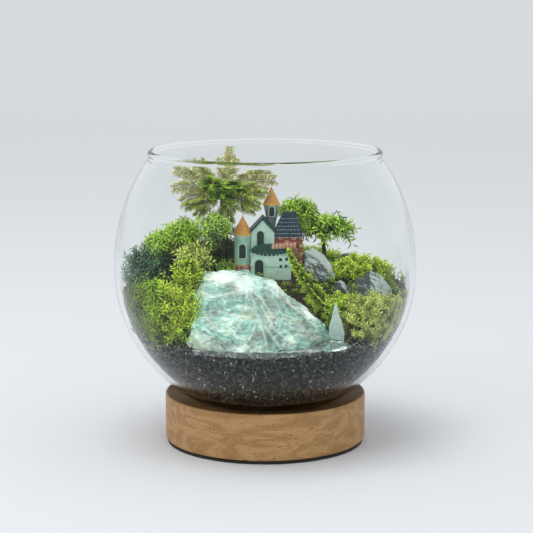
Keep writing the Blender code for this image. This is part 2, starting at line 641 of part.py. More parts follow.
def make_bush(ground):
    """The feathery bush left of the tall moss: a forked stem with four tufts."""
    middle = Vector((-33.0, 3.0, 97.0))
    trunk = twig([(-31.0, 3.0, 78.0), (-32.0, 3.0, 88.0), middle], 2.2, 1.8)
    stem = add_object("bush_stem", trunk, "moss_stem")
    tufts = {"top": ((-25.0, -3.0, 107.5), (5.4, 5.0, 8.5)), "left": ((-41.0, 4.0, 103.0), (6.2, 5.5, 6.0)),
             "low_left": ((-52.0, 6.0, 97.0), (5.6, 6.5, 6.0)), "middle": ((-36.0, -4.5, 93.0), (5.2, 4.5, 5.5))}
    joined = []
    sleeves = []
    for name, (centre, radii) in tufts.items():
        toward = Vector(centre) - middle
        fork = twig([middle - toward * 0.08 - Vector((0.0, 0.0, 0.8)), middle + toward * 0.3,
                     middle + toward * 0.8], 1.5, 1.0)
        joined.append(as_cutter(add_object(f"join_bush_{name}", fork, None)))
        add_object(f"bush_tuft_{name}", cushion(centre, radii, 0.06), "lime_moss")
        sleeves.append(as_cutter(add_object(f"cut_bush_{name}", cushion(centre, radii, 0.06, 0.4), None)))
    combine(stem, "UNION", *joined)
    combine(stem, "DIFFERENCE", *ground, *sleeves)
    return sleeves


CUSHIONS = {
    "left_moss": ((-50.0, -25.0, 66.0), (19.0, 17.0, 17.0), "lime_moss"),
    "dark_fern": ((-58.5, 1.0, 85.0), (9.0, 9.0, 12.0), "dark_moss"),
    "rear_left_moss": ((-42.0, 26.0, 84.0), (19.0, 13.0, 10.0), "dark_moss"),
    "behind_trunk_moss": ((-22.0, 30.0, 86.0), (14.0, 9.0, 11.0), "dark_moss"),
    "rear_moss_mat": ((8.0, 47.0, 82.0), (36.0, 14.0, 8.0), "lime_moss"),
    "small_tuft": ((-19.5, 0.5, 84.5), (3.4, 3.2, 5.0), "tree_moss"),
    "right_rear_moss": ((47.0, 6.5, 83.0), (14.5, 9.0, 8.5), "lime_moss"),
    "right_front_moss": ((53.0, -32.0, 66.0), (16.0, 12.0, 13.0), "tree_moss"),
    "middle_moss": ((37.5, -28.0, 70.0), (7.5, 7.0, 9.0), "lime_moss"),
}


def make_cushions(room, ground, cutters):
    """The moss cushions, each cut back from the glass, the ground and what was set before it."""
    before = []
    for name, (centre, radii, slot) in CUSHIONS.items():
        moss = add_object(name, cushion(centre, radii, 0.05), slot)
        combine(moss, "INTERSECT", room)
        combine(moss, "DIFFERENCE", *ground, *cutters, *before)
        before.append(as_cutter(add_object(f"cut_{name}", cushion(centre, radii, 0.05, 0.4), None)))
    return before


def make_sprigs(cushion_cutters):
    """The lime sprig over the left cushion and the long frond that arches before the castle."""
    sprig = blade(between((-39.5, -20.5, 78.6), (-35.0, -21.0, 96.5), 0.0), [11.0 * share for share in LEAF_SHAPE],
                  3.0, (1.0, 0.0, 0.0))
    sprig = add_object("lime_sprig", sprig, "lime_moss")
    combine(sprig, "DIFFERENCE", *cushion_cutters)
    path = [(30.6, -31.5, 72.0), (26.0, -31.0, 76.0), (23.0, -30.0, 80.0), (17.4, -26.0, 87.0),
            (13.0, -20.0, 92.0), (10.1, -14.0, 98.6)]
    vine = add_object("arching_frond", blade(path, (1.6, 3.0, 4.6, 5.2, 4.4, 1.2), 2.0, (0.0, 1.0, 0.2)),
                      "lime_moss")
    combine(vine, "DIFFERENCE", *cushion_cutters)


remove_everything()
make_wood_base()
make_light_diffuser()
make_led_board()
make_power_socket()
make_bottom_plate()
make_foot_pad()
make_glass_bowl()
bowl_room = make_room()
ground_cutters = make_ground(bowl_room)
cut_hill = make_resin(bowl_room, ground_cutters)
stone_cutters = make_stones(ground_cutters, cut_hill)
cut_castle = make_castle(ground_cutters, cut_hill)
make_tall_tree_moss(ground_cutters)
make_rear_tree_moss(ground_cutters)
bush_cutters = make_bush(ground_cutters)
moss_cutters = make_cushions(bowl_room, ground_cutters, [cut_hill, cut_castle, *stone_cutters.values(), *bush_cutters])
make_sprigs(moss_cutters)
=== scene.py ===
import math

import bmesh
import bpy
import numpy as np
from mathutils import Matrix, Vector, noise


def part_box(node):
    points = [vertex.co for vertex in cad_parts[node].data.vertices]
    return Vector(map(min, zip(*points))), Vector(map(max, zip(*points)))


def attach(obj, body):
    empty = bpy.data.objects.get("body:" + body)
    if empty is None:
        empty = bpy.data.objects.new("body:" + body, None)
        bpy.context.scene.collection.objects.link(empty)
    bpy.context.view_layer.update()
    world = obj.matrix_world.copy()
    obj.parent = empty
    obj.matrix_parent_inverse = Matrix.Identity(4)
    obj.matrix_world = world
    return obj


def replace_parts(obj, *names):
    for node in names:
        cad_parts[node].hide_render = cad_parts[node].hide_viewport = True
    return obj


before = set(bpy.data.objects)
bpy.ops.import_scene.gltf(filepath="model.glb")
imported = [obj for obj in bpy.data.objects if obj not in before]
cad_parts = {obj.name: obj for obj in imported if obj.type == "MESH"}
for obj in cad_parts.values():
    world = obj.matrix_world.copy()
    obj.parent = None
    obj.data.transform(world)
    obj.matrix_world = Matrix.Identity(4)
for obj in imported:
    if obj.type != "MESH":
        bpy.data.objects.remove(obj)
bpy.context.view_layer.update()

MM = 0.001
scene = bpy.context.scene


# ================================================================ beech lamp base
# A turned beech block with a shallow dish on top that the bowl sits in. It is one piece of
# wood, fine-sanded and oiled, hollowed from below for the lamp and slotted at the back.

YEAR_LINES = 34.0


def nodes_of(name):
    """A new material with its node tree and its Principled shader."""
    made = bpy.data.materials.new(name)
    made.use_nodes = True
    return made, made.node_tree, made.node_tree.nodes["Principled BSDF"]


def feed(tree, socket, value):
    """Links an input to a socket, or sets it to a number, a vector or a colour."""
    if value is None:
        return
    if isinstance(value, bpy.types.NodeSocket):
        tree.links.new(value, socket)
    elif socket.type == "RGBA" and len(value) == 3:
        socket.default_value = (*value, 1.0)
    else:
        socket.default_value = value


def fill(tree, node, **inputs):
    """Feeds a node's inputs by name."""
    for key, value in inputs.items():
        feed(tree, node.inputs[key.replace("_", " ")], value)


def put(tree, kind, *inputs, **named):
    """A shader node, its inputs fed in order or by name; any other name is a setting."""
    node = tree.nodes.new("ShaderNode" + kind)
    for key, value in named.items():
        if hasattr(node, key):
            setattr(node, key, value)
        else:
            fill(tree, node, **{key: value})
    for socket, value in zip(node.inputs, inputs):
        feed(tree, socket, value)
    return node


def place_of(tree):
    return put(tree, "TexCoord").outputs["Object"]


def scaled(tree, place, factors):
    return put(tree, "VectorMath", place, factors, operation="MULTIPLY").outputs[0]


def cloudy(tree, place, scale, detail=2.0, **more):
    """Layered noise."""
    return put(tree, "TexNoise", place, Scale=scale, Detail=detail, **more).outputs["Fac"]


def ranged(tree, value, low, high, to_low=0.0, to_high=1.0, **more):
    """A value stretched from one range to another, and kept inside it."""
    return put(tree, "MapRange", value, low, high, to_low, to_high, **more).outputs[0]


def mixed(tree, share, first, second, blend="MIX"):
    """Two colours, mixed or multiplied."""
    node = put(tree, "Mix", share, data_type="RGBA", blend_type=blend)
    feed(tree, node.inputs[6], first)
    feed(tree, node.inputs[7], second)
    return node.outputs[2]


def ramped(tree, value, stops):
    """A colour ramp."""
    node = put(tree, "ValToRGB", value)
    elements = node.color_ramp.elements
    for index, (where, colour) in enumerate(stops):
        stop = elements[index] if index < 2 else elements.new(where)
        stop.position = where
        stop.color = (*colour, 1.0)
    return node.outputs[0]


def tooth(tree, height, strength, distance):
    """A fine bump."""
    return put(tree, "Bump", Height=height, Strength=strength, Distance=distance).outputs[0]


def build_mottle():
    """Uneven colour and tooth of a natural or moulded surface: broad patches and a fine grain."""
    tree = bpy.data.node_groups.new("mottle", "ShaderNodeTree")
    for label, kind in (("Scale", "Float"), ("Dark", "Color"), ("Light", "Color"), ("Low Roughness", "Float"),
                        ("High Roughness", "Float")):
        tree.interface.new_socket(label, in_out="INPUT", socket_type="NodeSocket" + kind)
    for label, kind in (("Color", "Color"), ("Roughness", "Float"), ("Height", "Float")):
        tree.interface.new_socket(label, in_out="OUTPUT", socket_type="NodeSocket" + kind)
    wanted = tree.nodes.new("NodeGroupInput").outputs
    place = place_of(tree)
    broad = cloudy(tree, place, wanted["Scale"], 6.0, Roughness=0.62)
    fine_scale = put(tree, "Math", wanted["Scale"], 7.0, operation="MULTIPLY").outputs[0]
    fine = cloudy(tree, place, fine_scale, 3.0, Roughness=0.6)
    both = put(tree, "Mix", 0.35, None, broad, fine).outputs[0]
    clear = ranged(tree, both, 0.36, 0.64)
    colour = mixed(tree, clear, wanted["Dark"], wanted["Light"])
    rough = put(tree, "Mix", clear, None, wanted["Low Roughness"], wanted["High Roughness"]).outputs[0]
    fill(tree, tree.nodes.new("NodeGroupOutput"), Color=colour, Roughness=rough, Height=both)
    return tree


MOTTLE = build_mottle()


def mottled(name, dark, light, scale, roughness, bump, depth=0.0002, **plain):
    """A material with the mottle group; other Principled sockets are plain numbers."""
    made, tree, shader = nodes_of(name)
    patches = put(tree, "Group", node_tree=MOTTLE)
    fill(tree, patches, Scale=scale, Dark=dark, Light=light, Low_Roughness=roughness[0],
         High_Roughness=roughness[1])
    fill(tree, shader, Base_Color=patches.outputs["Color"], Roughness=patches.outputs["Roughness"],
         Normal=tooth(tree, patches.outputs["Height"], bump, depth), **plain)
    return made


def beech():
    """Pale brown wood: arched year lines, long pores and short dark ray flecks."""
    made, tree, shader = nodes_of("beech")
    place = place_of(tree)
    years = cloudy(tree, scaled(tree, place, (0.16, 0.6, 1.0)), 85.0, 3.0, Roughness=0.5, Distortion=0.6)
    lines = put(tree, "Math", years, YEAR_LINES, operation="MULTIPLY").outputs[0]
    wave = put(tree, "Math", lines, operation="SINE").outputs[0]
    streaks = cloudy(tree, scaled(tree, place, (0.05, 0.9, 1.0)), 1500.0, 4.0)
    flecks = cloudy(tree, scaled(tree, place, (0.3, 0.8, 1.0)), 1250.0, 1.0)
    ground = mixed(tree, ranged(tree, wave, -1.0, 1.0), (0.385, 0.205, 0.075), (0.500, 0.290, 0.118))
    grained = mixed(tree, 1.0, ground, ranged(tree, streaks, 0.3, 0.7, 0.84, 1.10), "MULTIPLY")
    flecked = mixed(tree, ranged(tree, flecks, 0.63, 0.71), grained, (0.27, 0.140, 0.050))
    fill(tree, shader, Base_Color=flecked, Roughness=ranged(tree, streaks, 0.0, 1.0, 0.42, 0.62),
         Normal=tooth(tree, streaks, 0.25, 0.00015), Specular_IOR_Level=0.35)
    return made


def shown(name, data):
    """A new object in the scene."""
    made = bpy.data.objects.new(name, data)
    scene.collection.objects.link(made)
    return made


def evaluated(piece):
    """Applies a piece's modifiers to its mesh."""
    graph = bpy.context.evaluated_depsgraph_get()
    piece.data = bpy.data.meshes.new_from_object(piece.evaluated_get(graph))
    piece.modifiers.clear()
    return piece


def dress(piece, slot, *materials):
    """A piece with its materials, riding on the one body."""
    if len(piece.data.materials):
        piece.data.materials.clear()
    for made in materials:
        piece.data.materials.append(made)
    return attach(piece, "root")


def from_cad(node, name, voxel, relax=0.4, steps=6):
    """A finer copy of a CAD node: remeshed evenly, then relaxed so that its facets melt away."""
    piece = shown(name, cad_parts[node].data.copy())
    remesh = piece.modifiers.new("even", "REMESH")
    remesh.mode = "VOXEL"
    remesh.voxel_size = voxel
    ease = piece.modifiers.new("relax", "SMOOTH")
    ease.factor = relax
    ease.iterations = steps
    evaluated(piece)
    piece.data.shade_smooth()
    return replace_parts(piece, node)


wood = from_cad("wood_base", "turned_base", 0.0006, 0.5, 5)
dress(wood, "beech", beech())


# ================================================================ lamp parts
# Inside and under the wood: a frosted disc, the white board with its light chips, the metal
# power inlet, the black screwed plate and the rubber pad that the base stands on. Their CAD
# shapes are right, so they keep them and get their real finishes.

FINISHES = {
    ("light_diffuser",): mottled("frosted_acrylic", (0.80, 0.84, 0.82), (0.90, 0.92, 0.90), 900.0,
                                 (0.45, 0.6), 0.1),
    ("led_board",): mottled("board_lacquer", (0.70, 0.72, 0.70), (0.82, 0.83, 0.81), 500.0, (0.3, 0.45), 0.1),
    ("power_socket", "plate_screw_1", "plate_screw_2", "plate_screw_3"):
        mottled("nickel_plate", (0.50, 0.50, 0.49), (0.63, 0.62, 0.60), 900.0, (0.22, 0.38), 0.1,
                Metallic=1.0),
    ("bottom_plate",): mottled("moulded_black", (0.020, 0.020, 0.021), (0.035, 0.035, 0.036), 800.0,
                               (0.45, 0.6), 0.3),
    ("foot_pad",): mottled("foot_rubber", (0.012, 0.012, 0.012), (0.026, 0.026, 0.025), 900.0, (0.7, 0.9),
                           0.5),
}
for nodes, finish in FINISHES.items():
    for node in nodes:
        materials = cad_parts[node].data.materials
        materials.clear()
        materials.append(finish)


# ================================================================ glass bowl
# One blown bowl of clear, faintly green glass: a flat foot with a round corner, a globe that
# closes in towards the mouth, and a fire-polished lip.

bowl_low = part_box("glass_bowl")[0]
bowl_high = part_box("glass_bowl_upper")[1]
BOWL_RADIUS = -bowl_low.x / MM
FOOT = bowl_low.z / MM
RIM = bowl_high.z / MM
WIDEST = FOOT + 66.7
WALL = 2.3
FLOOR = FOOT + 4.3
FOOT_ROUND = 25.0
UPPER = 85.0
MOUTH = 56.2
LIP = 1.5
SEGMENTS = 160


def arc(centre, radius, start, end, steps):
    """Points on an arc in the (radius, height) plane, in degrees from the outside."""
    angles = np.radians(np.linspace(start, end, steps + 1))
    return [(centre[0] + radius * math.cos(a), centre[1] + radius * math.sin(a)) for a in angles]


def bowl_side(radius, floor, corner, top, neck):
    """One face of the blown wall, from the middle of the foot up to the neck."""
    lift = floor + corner
    reach = math.sqrt((radius - corner) ** 2 - (WIDEST - lift) ** 2)
    lean = math.degrees(math.atan2(lift - WIDEST, reach))
    side = [(0.0, floor), (reach * 0.5, floor)]
    side += arc((reach, lift), corner, -90.0, lean, 12)
    side += arc((0.0, WIDEST), radius, lean, 0.0, 26)[1:]
    upper = UPPER * radius / BOWL_RADIUS
    for height in np.linspace(0.0, top - WIDEST, 29)[1:]:
        share = math.sqrt(1.0 - (height / upper) ** 2)
        side.append((max(radius * share, neck), WIDEST + height))
    return side


def turned(name, profile):
    """A smooth solid turned about Z from a profile that starts and ends on the axis."""
    build = bmesh.new()
    rings = []
    for radius, height in profile:
        if radius < 1e-6:
            rings.append([build.verts.new((0.0, 0.0, height * MM))])
            continue
        rings.append([build.verts.new((radius * MM * math.cos(a), radius * MM * math.sin(a), height * MM))
                      for a in np.linspace(0.0, 2.0 * math.pi, SEGMENTS, endpoint=False)])
    for first, second in zip(rings, rings[1:]):
        for step in range(SEGMENTS):
            after = (step + 1) % SEGMENTS
            corners = [first[step % len(first)], first[after % len(first)],
                       second[after % len(second)], second[step % len(second)]]
            build.faces.new(list(dict.fromkeys(corners)))
    bmesh.ops.recalc_face_normals(build, faces=build.faces)
    mesh = bpy.data.meshes.new(name)
    build.to_mesh(mesh)
    build.free()
    mesh.shade_smooth()
    return shown(name, mesh)


def clear_glass(name, tint, roughness=0.0, index=1.22):
    """Clear glass that lets lamp light straight through, so that what stands inside is lit."""
    made, tree, shader = nodes_of(name)
    ripples = cloudy(tree, place_of(tree), 28.0, 1.0)
    fill(tree, shader, Normal=tooth(tree, ripples, 0.06, 0.0008), Base_Color=tint, Roughness=roughness,
         IOR=index, Transmission_Weight=1.0)
    shadow = put(tree, "LightPath").outputs["Is Shadow Ray"]
    through = put(tree, "BsdfTransparent", Color=(0.94, 0.97, 0.955))
    either = put(tree, "MixShader", shadow, shader.outputs[0], through.outputs[0])
    fill(tree, tree.nodes["Material Output"], Surface=either.outputs[0])
    return made


outer = bowl_side(BOWL_RADIUS, FOOT, FOOT_ROUND, RIM - LIP - 2.0, MOUTH + 0.4)
inner = bowl_side(BOWL_RADIUS - WALL, FLOOR, FOOT_ROUND - 4.0, RIM - LIP - 2.0, MOUTH - LIP)
bead = arc((MOUTH, RIM - LIP), LIP, -30.0, 210.0, 14)
bowl = turned("blown_bowl", outer + bead + inner[::-1])
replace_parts(bowl, "glass_bowl", "glass_bowl_upper")
dress(bowl, "clear_glass", clear_glass("bowl_glass", (0.975, 0.995, 0.985)))


def room_radius(height):
    """Radius of the bowl's inside, less a hair, at heights in millimetres (a numpy array)."""
    radius = BOWL_RADIUS - WALL - 0.35
    corner = FOOT_ROUND - 4.35
    lift = FLOOR + 0.35 + corner
    reach = math.sqrt((radius - corner) ** 2 - (WIDEST - lift) ** 2)
    tangent = WIDEST + (lift - WIDEST) * radius / (radius - corner)
    height = np.asarray(height, float)
    globe = np.sqrt(np.maximum(0.0, radius ** 2 - (height - WIDEST) ** 2))
    upper = radius * np.sqrt(np.maximum(0.0, 1.0 - ((height - WIDEST) / (UPPER * radius / BOWL_RADIUS)) ** 2))
    low = reach + np.sqrt(np.maximum(0.0, corner ** 2 - (lift - height) ** 2))
    found = np.where(height > WIDEST, np.maximum(upper, MOUTH - 2.0), globe)
    return np.where(height < tangent, low, found)


def kept_inside(points, margin=0.3):
    """Points in millimetres, pressed in where they would cross the glass."""
    radius = np.hypot(points[:, 0], points[:, 1])
    most = room_radius(points[:, 2]) - margin
    share = np.where(radius > most, most / np.maximum(radius, 1e-6), 1.0)
    points[:, :2] *= share[:, None]
    points[:, 2] = np.minimum(points[:, 2], RIM - 0.2)
    return points


# ================================================================ gravel
# Loose dark basalt grit of one to two millimetres, with pale glittering grains among it and
# brownish fines at the bottom, poured in against the glass.

random = np.random.default_rng(7)
GRAIN_COUNT = 12000
PALE_SHARE = 0.05


def places_of(mesh):
    """A mesh's vertices, in millimetres."""
    return np.array([vert.co for vert in mesh.vertices]) / MM


def triangles_of(node):
    """Corners of a CAD node's triangles, in millimetres."""
    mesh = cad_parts[node].data
    mesh.calc_loop_triangles()
    return places_of(mesh)[np.array([tri.vertices for tri in mesh.loop_triangles])]


def scattered(corners, count, keep):
    """Points spread over triangles, as thickly as `keep` says, with the faces' normals."""
    across = corners[:, 1] - corners[:, 0]
    along = corners[:, 2] - corners[:, 0]
    cross = np.cross(across, along)
    area = np.linalg.norm(cross, axis=1)
    normal = cross / np.maximum(area, 1e-9)[:, None]
    weight = area * keep(corners.mean(axis=1), normal)
    chosen = random.choice(len(corners), count, p=weight / weight.sum())
    first = np.sqrt(random.random(count))[:, None]
    second = random.random(count)[:, None]
    point = (corners[chosen, 0] * (1.0 - first) + corners[chosen, 1] * first * (1.0 - second)
             + corners[chosen, 2] * first * second)
    return point, normal[chosen]


def tinted(mesh, shades):
    """Gives each vertex a tint."""
    layer = mesh.color_attributes.new("tint", "FLOAT_COLOR", "POINT")
    layer.data.foreach_set("color", shades.ravel())


def mesh_piece(name, points, faces, tints=None):
    """A piece from numpy arrays in millimetres, with an optional tint for each vertex."""
    mesh = bpy.data.meshes.new(name)
    mesh.vertices.add(len(points))
    mesh.vertices.foreach_set("co", (points * MM).ravel())
    mesh.loops.add(faces.size)
    mesh.loops.foreach_set("vertex_index", faces.ravel())
    mesh.polygons.add(len(faces))
    mesh.polygons.foreach_set("loop_start", np.arange(len(faces)) * faces.shape[1])
    mesh.update(calc_edges=True)
    if tints is not None:
        tinted(mesh, np.column_stack([tints, np.ones(len(points))]))
    return shown(name, mesh)


def spins(count):
    """Random rotation matrices."""
    four = random.normal(size=(count, 4))
    four /= np.linalg.norm(four, axis=1)[:, None]
    w, x, y, z = four.T
    return np.stack([
        np.stack([1 - 2 * (y * y + z * z), 2 * (x * y - z * w), 2 * (x * z + y * w)], -1),
        np.stack([2 * (x * y + z * w), 1 - 2 * (x * x + z * z), 2 * (y * z - x * w)], -1),
        np.stack([2 * (x * z - y * w), 2 * (y * z + x * w), 1 - 2 * (x * x + y * y)], -1)], 1)


def hill_foot(across):
    """The front edge of the hill's foot: y for x, in millimetres."""
    return -64.5 + 0.009 * (across + 8.0) ** 2


def grains(name, centres, sizes):
    """Angular grains, each a squashed and chipped twenty-sided lump; more are pale along the hill's foot."""
    build = bmesh.new()
    bmesh.ops.create_icosphere(build, subdivisions=1, radius=0.5)
    shape = np.array([vert.co for vert in build.verts])
    sides = np.array([[vert.index for vert in face.verts] for face in build.faces])
    build.free()
    count = len(centres)
    across, back, height = centres.T
    crust = np.exp(-((back - hill_foot(across)) / 3.0) ** 2) * (height > GRAVEL_TOP - 5.0)
    pale_share = PALE_SHARE + 0.28 * crust + 0.05 * (height > GRAVEL_TOP - 6.0)
    chips = 1.0 + 0.22 * random.normal(size=(count, len(shape), 1)).clip(-1.6, 1.2)
    squash = random.uniform(0.6, 1.15, size=(count, 1, 3))
    pale = (random.random(count) < pale_share).astype(float)
    lumps = shape[None] * chips * squash * (sizes * (1.0 - 0.4 * pale))[:, None, None]
    lumps = np.einsum("nij,nkj->nki", spins(count), lumps) + centres[:, None]
    faces = sides[None] + (np.arange(count) * len(shape))[:, None, None]
    tints = np.stack([pale, random.random(count) ** 1.8, random.random(count)], -1)
    tints = np.repeat(tints, len(shape), axis=0)
    return mesh_piece(name, kept_inside(lumps.reshape(-1, 3), 0.05), faces.reshape(-1, 3), tints)


def tint_parts(tree):
    """The tint of each vertex, as three separate values."""
    tint = put(tree, "Attribute", attribute_name="tint")
    return put(tree, "SeparateColor", tint.outputs["Color"]).outputs


def grit():
    """Basalt grit: near-black grey to brown grains, pale glassy ones, brown towards the bottom."""
    made, tree, shader = nodes_of("basalt_grit")
    parts = tint_parts(tree)
    place = place_of(tree)
    height = put(tree, "SeparateXYZ", place).outputs["Z"]
    grey = mixed(tree, parts["Green"], (0.010, 0.011, 0.013), (0.15, 0.155, 0.16))
    brown = mixed(tree, parts["Green"], (0.030, 0.020, 0.012), (0.17, 0.13, 0.07))
    settled = mixed(tree, ranged(tree, height, 0.028, 0.046, 1.0, 0.0), grey, brown)
    pale = mixed(tree, parts["Red"], settled, (0.72, 0.76, 0.74))
    speck = cloudy(tree, place, 2600.0)
    final = mixed(tree, 1.0, pale, ranged(tree, speck, 0.0, 1.0, 0.6, 1.5), "MULTIPLY")
    fill(tree, shader, Base_Color=final, Roughness=ranged(tree, parts["Blue"], 0.0, 1.0, 0.25, 0.65),
         Normal=tooth(tree, speck, 0.4, 0.0001))
    return made


GRAVEL_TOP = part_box("gravel_bed")[1].z / MM
wall_points, wall_normals = scattered(
    triangles_of("gravel_bed"), GRAIN_COUNT,
    lambda middle, normal: np.where((normal[:, 2] > 0.5) & (middle[:, 1] > 0.0), 0.0, 1.0)
    * (np.hypot(middle[:, 0], middle[:, 1]) > 14.0))
grain_sizes = random.uniform(0.9, 1.9, len(wall_points))
gravel = grains("gravel_grains", wall_points - wall_normals * (grain_sizes * 0.35)[:, None], grain_sizes)
dress(gravel, "dark_gravel", grit())
core = from_cad("gravel_bed", "gravel_core", 0.0016, 0.3, 2)
inset = core.modifiers.new("inset", "DISPLACE")
inset.strength = -0.9 * MM
inset.mid_level = 0.0
evaluated(core)
dress(core, "dark_gravel", mottled("fine_grit", (0.006, 0.006, 0.007), (0.03, 0.03, 0.03), 900.0, (0.7, 0.9),
                                   0.8, 0.0008))
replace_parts(gravel, "gravel_bed")


# ================================================================ soil
# A bank of damp peat on the gravel, terraced towards the back, that everything is planted in.

def moved(piece, pushes):
    """Moves a piece's vertices along their normals, each by its own millimetres."""
    verts = piece.data.vertices
    normals = np.array([vert.normal for vert in verts])
    verts.foreach_set("co", ((places_of(piece.data) + normals * pushes[:, None]) * MM).ravel())
    piece.data.update()
    return piece


def roughened(piece, coarse, fine, size):
    """Moves a piece's vertices in and out by layered noise: coarse and fine are in millimetres."""
    spots = [Vector(place) for place in places_of(piece.data)]
    return moved(piece, np.array([coarse * noise.fractal(spot / size, 0.8, 2.1, 3)
                                  + fine * noise.noise(spot * 5.3 / size) for spot in spots]))


soil = roughened(from_cad("soil_bank", "peat_bank", 0.0012), 0.9, 0.5, 6.0)
dress(soil, "soil", mottled("damp_peat", (0.012, 0.008, 0.005), (0.075, 0.050, 0.028), 900.0, (0.8, 1.0),
                            1.0, 0.0008))


# ================================================================ cast resin hill
# Pearl and teal pigments swirled through clear resin and crumpled film, cast on the gravel
# over a light guide; the lamp's light through it is painted on as glow. A clear pool runs out at its right.

# Spots of painted glow: place, radius, and how far the painted glow whitens the colour.
LIT_SPOTS = [((-20.0, -22.0, 88.0), 8.5, 0.8), ((-9.0, -30.0, 84.0), 8.0, 0.55),
             ((8.0, -25.0, 83.0), 9.0, 0.7), ((21.0, -33.0, 71.0), 7.0, 0.8),
             ((-12.0, -60.0, 57.0), 5.0, 0.6), ((-33.0, -45.0, 58.0), 5.0, 0.5)]
SWIRL_COLOURS = [(0.30, (0.16, 0.32, 0.27)), (0.39, (0.24, 0.45, 0.37)), (0.435, (0.44, 0.64, 0.55)),
                 (0.465, (0.22, 0.44, 0.37)), (0.51, (0.33, 0.53, 0.44)), (0.54, (0.62, 0.72, 0.62)),
                 (0.565, (0.30, 0.48, 0.41)), (0.61, (0.52, 0.58, 0.42)), (0.68, (0.20, 0.34, 0.29))]
# Paths over the hill's front, in x and z: raised folds, and fine pale veins.
RIDGES = [[(-9.0, 88.0), (-6.3, 79.8), (-3.9, 73.5), (-3.4, 71.5), (-7.5, 62.0), (-10.6, 54.5)],
          [(-3.4, 71.5), (0.0, 63.8), (1.8, 55.5)],
          [(-35.0, 78.0), (-27.0, 75.5), (-18.0, 77.0), (-9.0, 83.0)],
          [(3.0, 84.0), (8.0, 74.0), (17.0, 68.0), (27.0, 64.0)],
          [(-34.0, 67.0), (-25.0, 70.5), (-15.0, 68.0)],
          [(-30.0, 60.0), (-22.0, 63.0), (-14.0, 58.0)], [(8.0, 66.0), (14.0, 60.0), (23.0, 58.0)]]
FINE_VEINS = [[(-3.0, 80.0), (3.0, 72.0), (13.0, 66.0), (25.0, 63.5)],
              [(-2.0, 76.0), (4.0, 67.0), (12.0, 61.0)],
              [(1.0, 83.0), (9.0, 77.0), (18.0, 71.0)], [(-3.0, 71.0), (5.0, 62.0), (9.0, 56.5)],
              [(-33.0, 81.0), (-25.0, 79.0), (-15.0, 81.0)], [(-34.0, 72.5), (-24.0, 73.5), (-12.0, 72.0)]]
SKIRT_STEPS = 150
SKIRT_SIDES = 12


def swirled_resin():
    """Marbled white, mint and teal with cream veins and fine fibres, glossy, with a painted glow: whitened
    colour and emission where light from the lamp below shines through.
    """
    made, tree, shader = nodes_of("swirled_resin")
    place = place_of(tree)
    warp = put(tree, "TexNoise", place, Scale=38.0, Detail=2.0, Roughness=0.5).outputs["Color"]
    centred = put(tree, "VectorMath", warp, (0.5, 0.5, 0.5), operation="SUBTRACT").outputs[0]
    pushed = put(tree, "VectorMath", centred, operation="SCALE", Scale=0.034).outputs[0]
    bent = put(tree, "VectorMath", place, pushed, operation="ADD").outputs[0]
    swirl = cloudy(tree, scaled(tree, bent, (0.42, 0.75, 1.25)), 88.0, 6.0, Roughness=0.62, Distortion=0.9)
    threads = cloudy(tree, scaled(tree, bent, (0.30, 1.0, 0.9)), 720.0, 4.0)
    shade = ranged(tree, threads, 0.3, 0.7, 0.55, 1.3)
    fibred = mixed(tree, 1.0, ramped(tree, swirl, SWIRL_COLOURS), shade, "MULTIPLY")
    cloud = ranged(tree, cloudy(tree, place, 70.0), 0.35, 0.65, 0.62, 1.45)
    clouded = mixed(tree, 1.0, fibred, cloud, "MULTIPLY")
    lit = None
    for spot, radius, share in LIT_SPOTS:
        centre = tuple(length * MM for length in spot)
        away = put(tree, "VectorMath", place, centre, operation="DISTANCE").outputs["Value"]
        near = ranged(tree, away, radius * 0.25 * MM, radius * 1.25 * MM, share, 0.0,
                      interpolation_type="SMOOTHSTEP")
        lit = near if lit is None else put(tree, "Math", lit, near, operation="MAXIMUM").outputs[0]
    # Painted glow: the marbled colour is whitened near the glow spots.
    painted_glow_share = put(tree, "Math", lit, shade, operation="MULTIPLY", use_clamp=True).outputs[0]
    pigment_and_painted_glow = mixed(tree, painted_glow_share, clouded, (0.90, 0.96, 0.92))
    vein = put(tree, "Attribute", attribute_name="tint").outputs["Fac"]
    veined = mixed(tree, vein, pigment_and_painted_glow, (0.80, 0.86, 0.76))
    # Painted glow as emission, faint all over and strongest at the glow spots.
    painted_glow = mixed(tree, 1.0, veined, ranged(tree, lit, 0.0, 1.0, 0.03, 0.46), "MULTIPLY")
    fill(tree, shader, Base_Color=veined, Emission_Color=painted_glow, Emission_Strength=1.0, Roughness=0.25,
         Coat_Weight=0.4, Normal=tooth(tree, threads, 0.5, 0.0004))
    return made


def off_paths(places, paths):
    """Distances, in x and z, from each stretch of some paths."""
    found = []
    for path in paths:
        for start, end in zip(path, path[1:]):
            run = np.subtract(end, start)
            there = places[:, [0, 2]] - start
            share = np.clip(there @ run / (run @ run), 0.0, 1.0)
            found.append(np.linalg.norm(there - share[:, None] * run, axis=1))
    return np.array(found)


def crumpled(piece, depth, size):
    """Ridges and facets like crushed film."""
    places = places_of(piece.data)
    film = np.array([0.4 - 2.2 * abs(noise.fractal(Vector(place) / size, 0.7, 2.2, 4)) for place in places])
    ridges = np.exp(-(off_paths(places, RIDGES) / 1.7) ** 2).sum(0)
    return moved(piece, depth * film + 1.1 * ridges)


hill = crumpled(from_cad("resin_hill", "water_hill", 0.0006, 0.5, 8), 1.0, 9.0)
vein_away = off_paths(places_of(hill.data), RIDGES[:2] + FINE_VEINS).min(0)
tinted(hill.data, np.repeat(0.5 * np.exp(-(vein_away / 0.4) ** 2), 4))
dress(hill, "pearl_resin", swirled_resin())

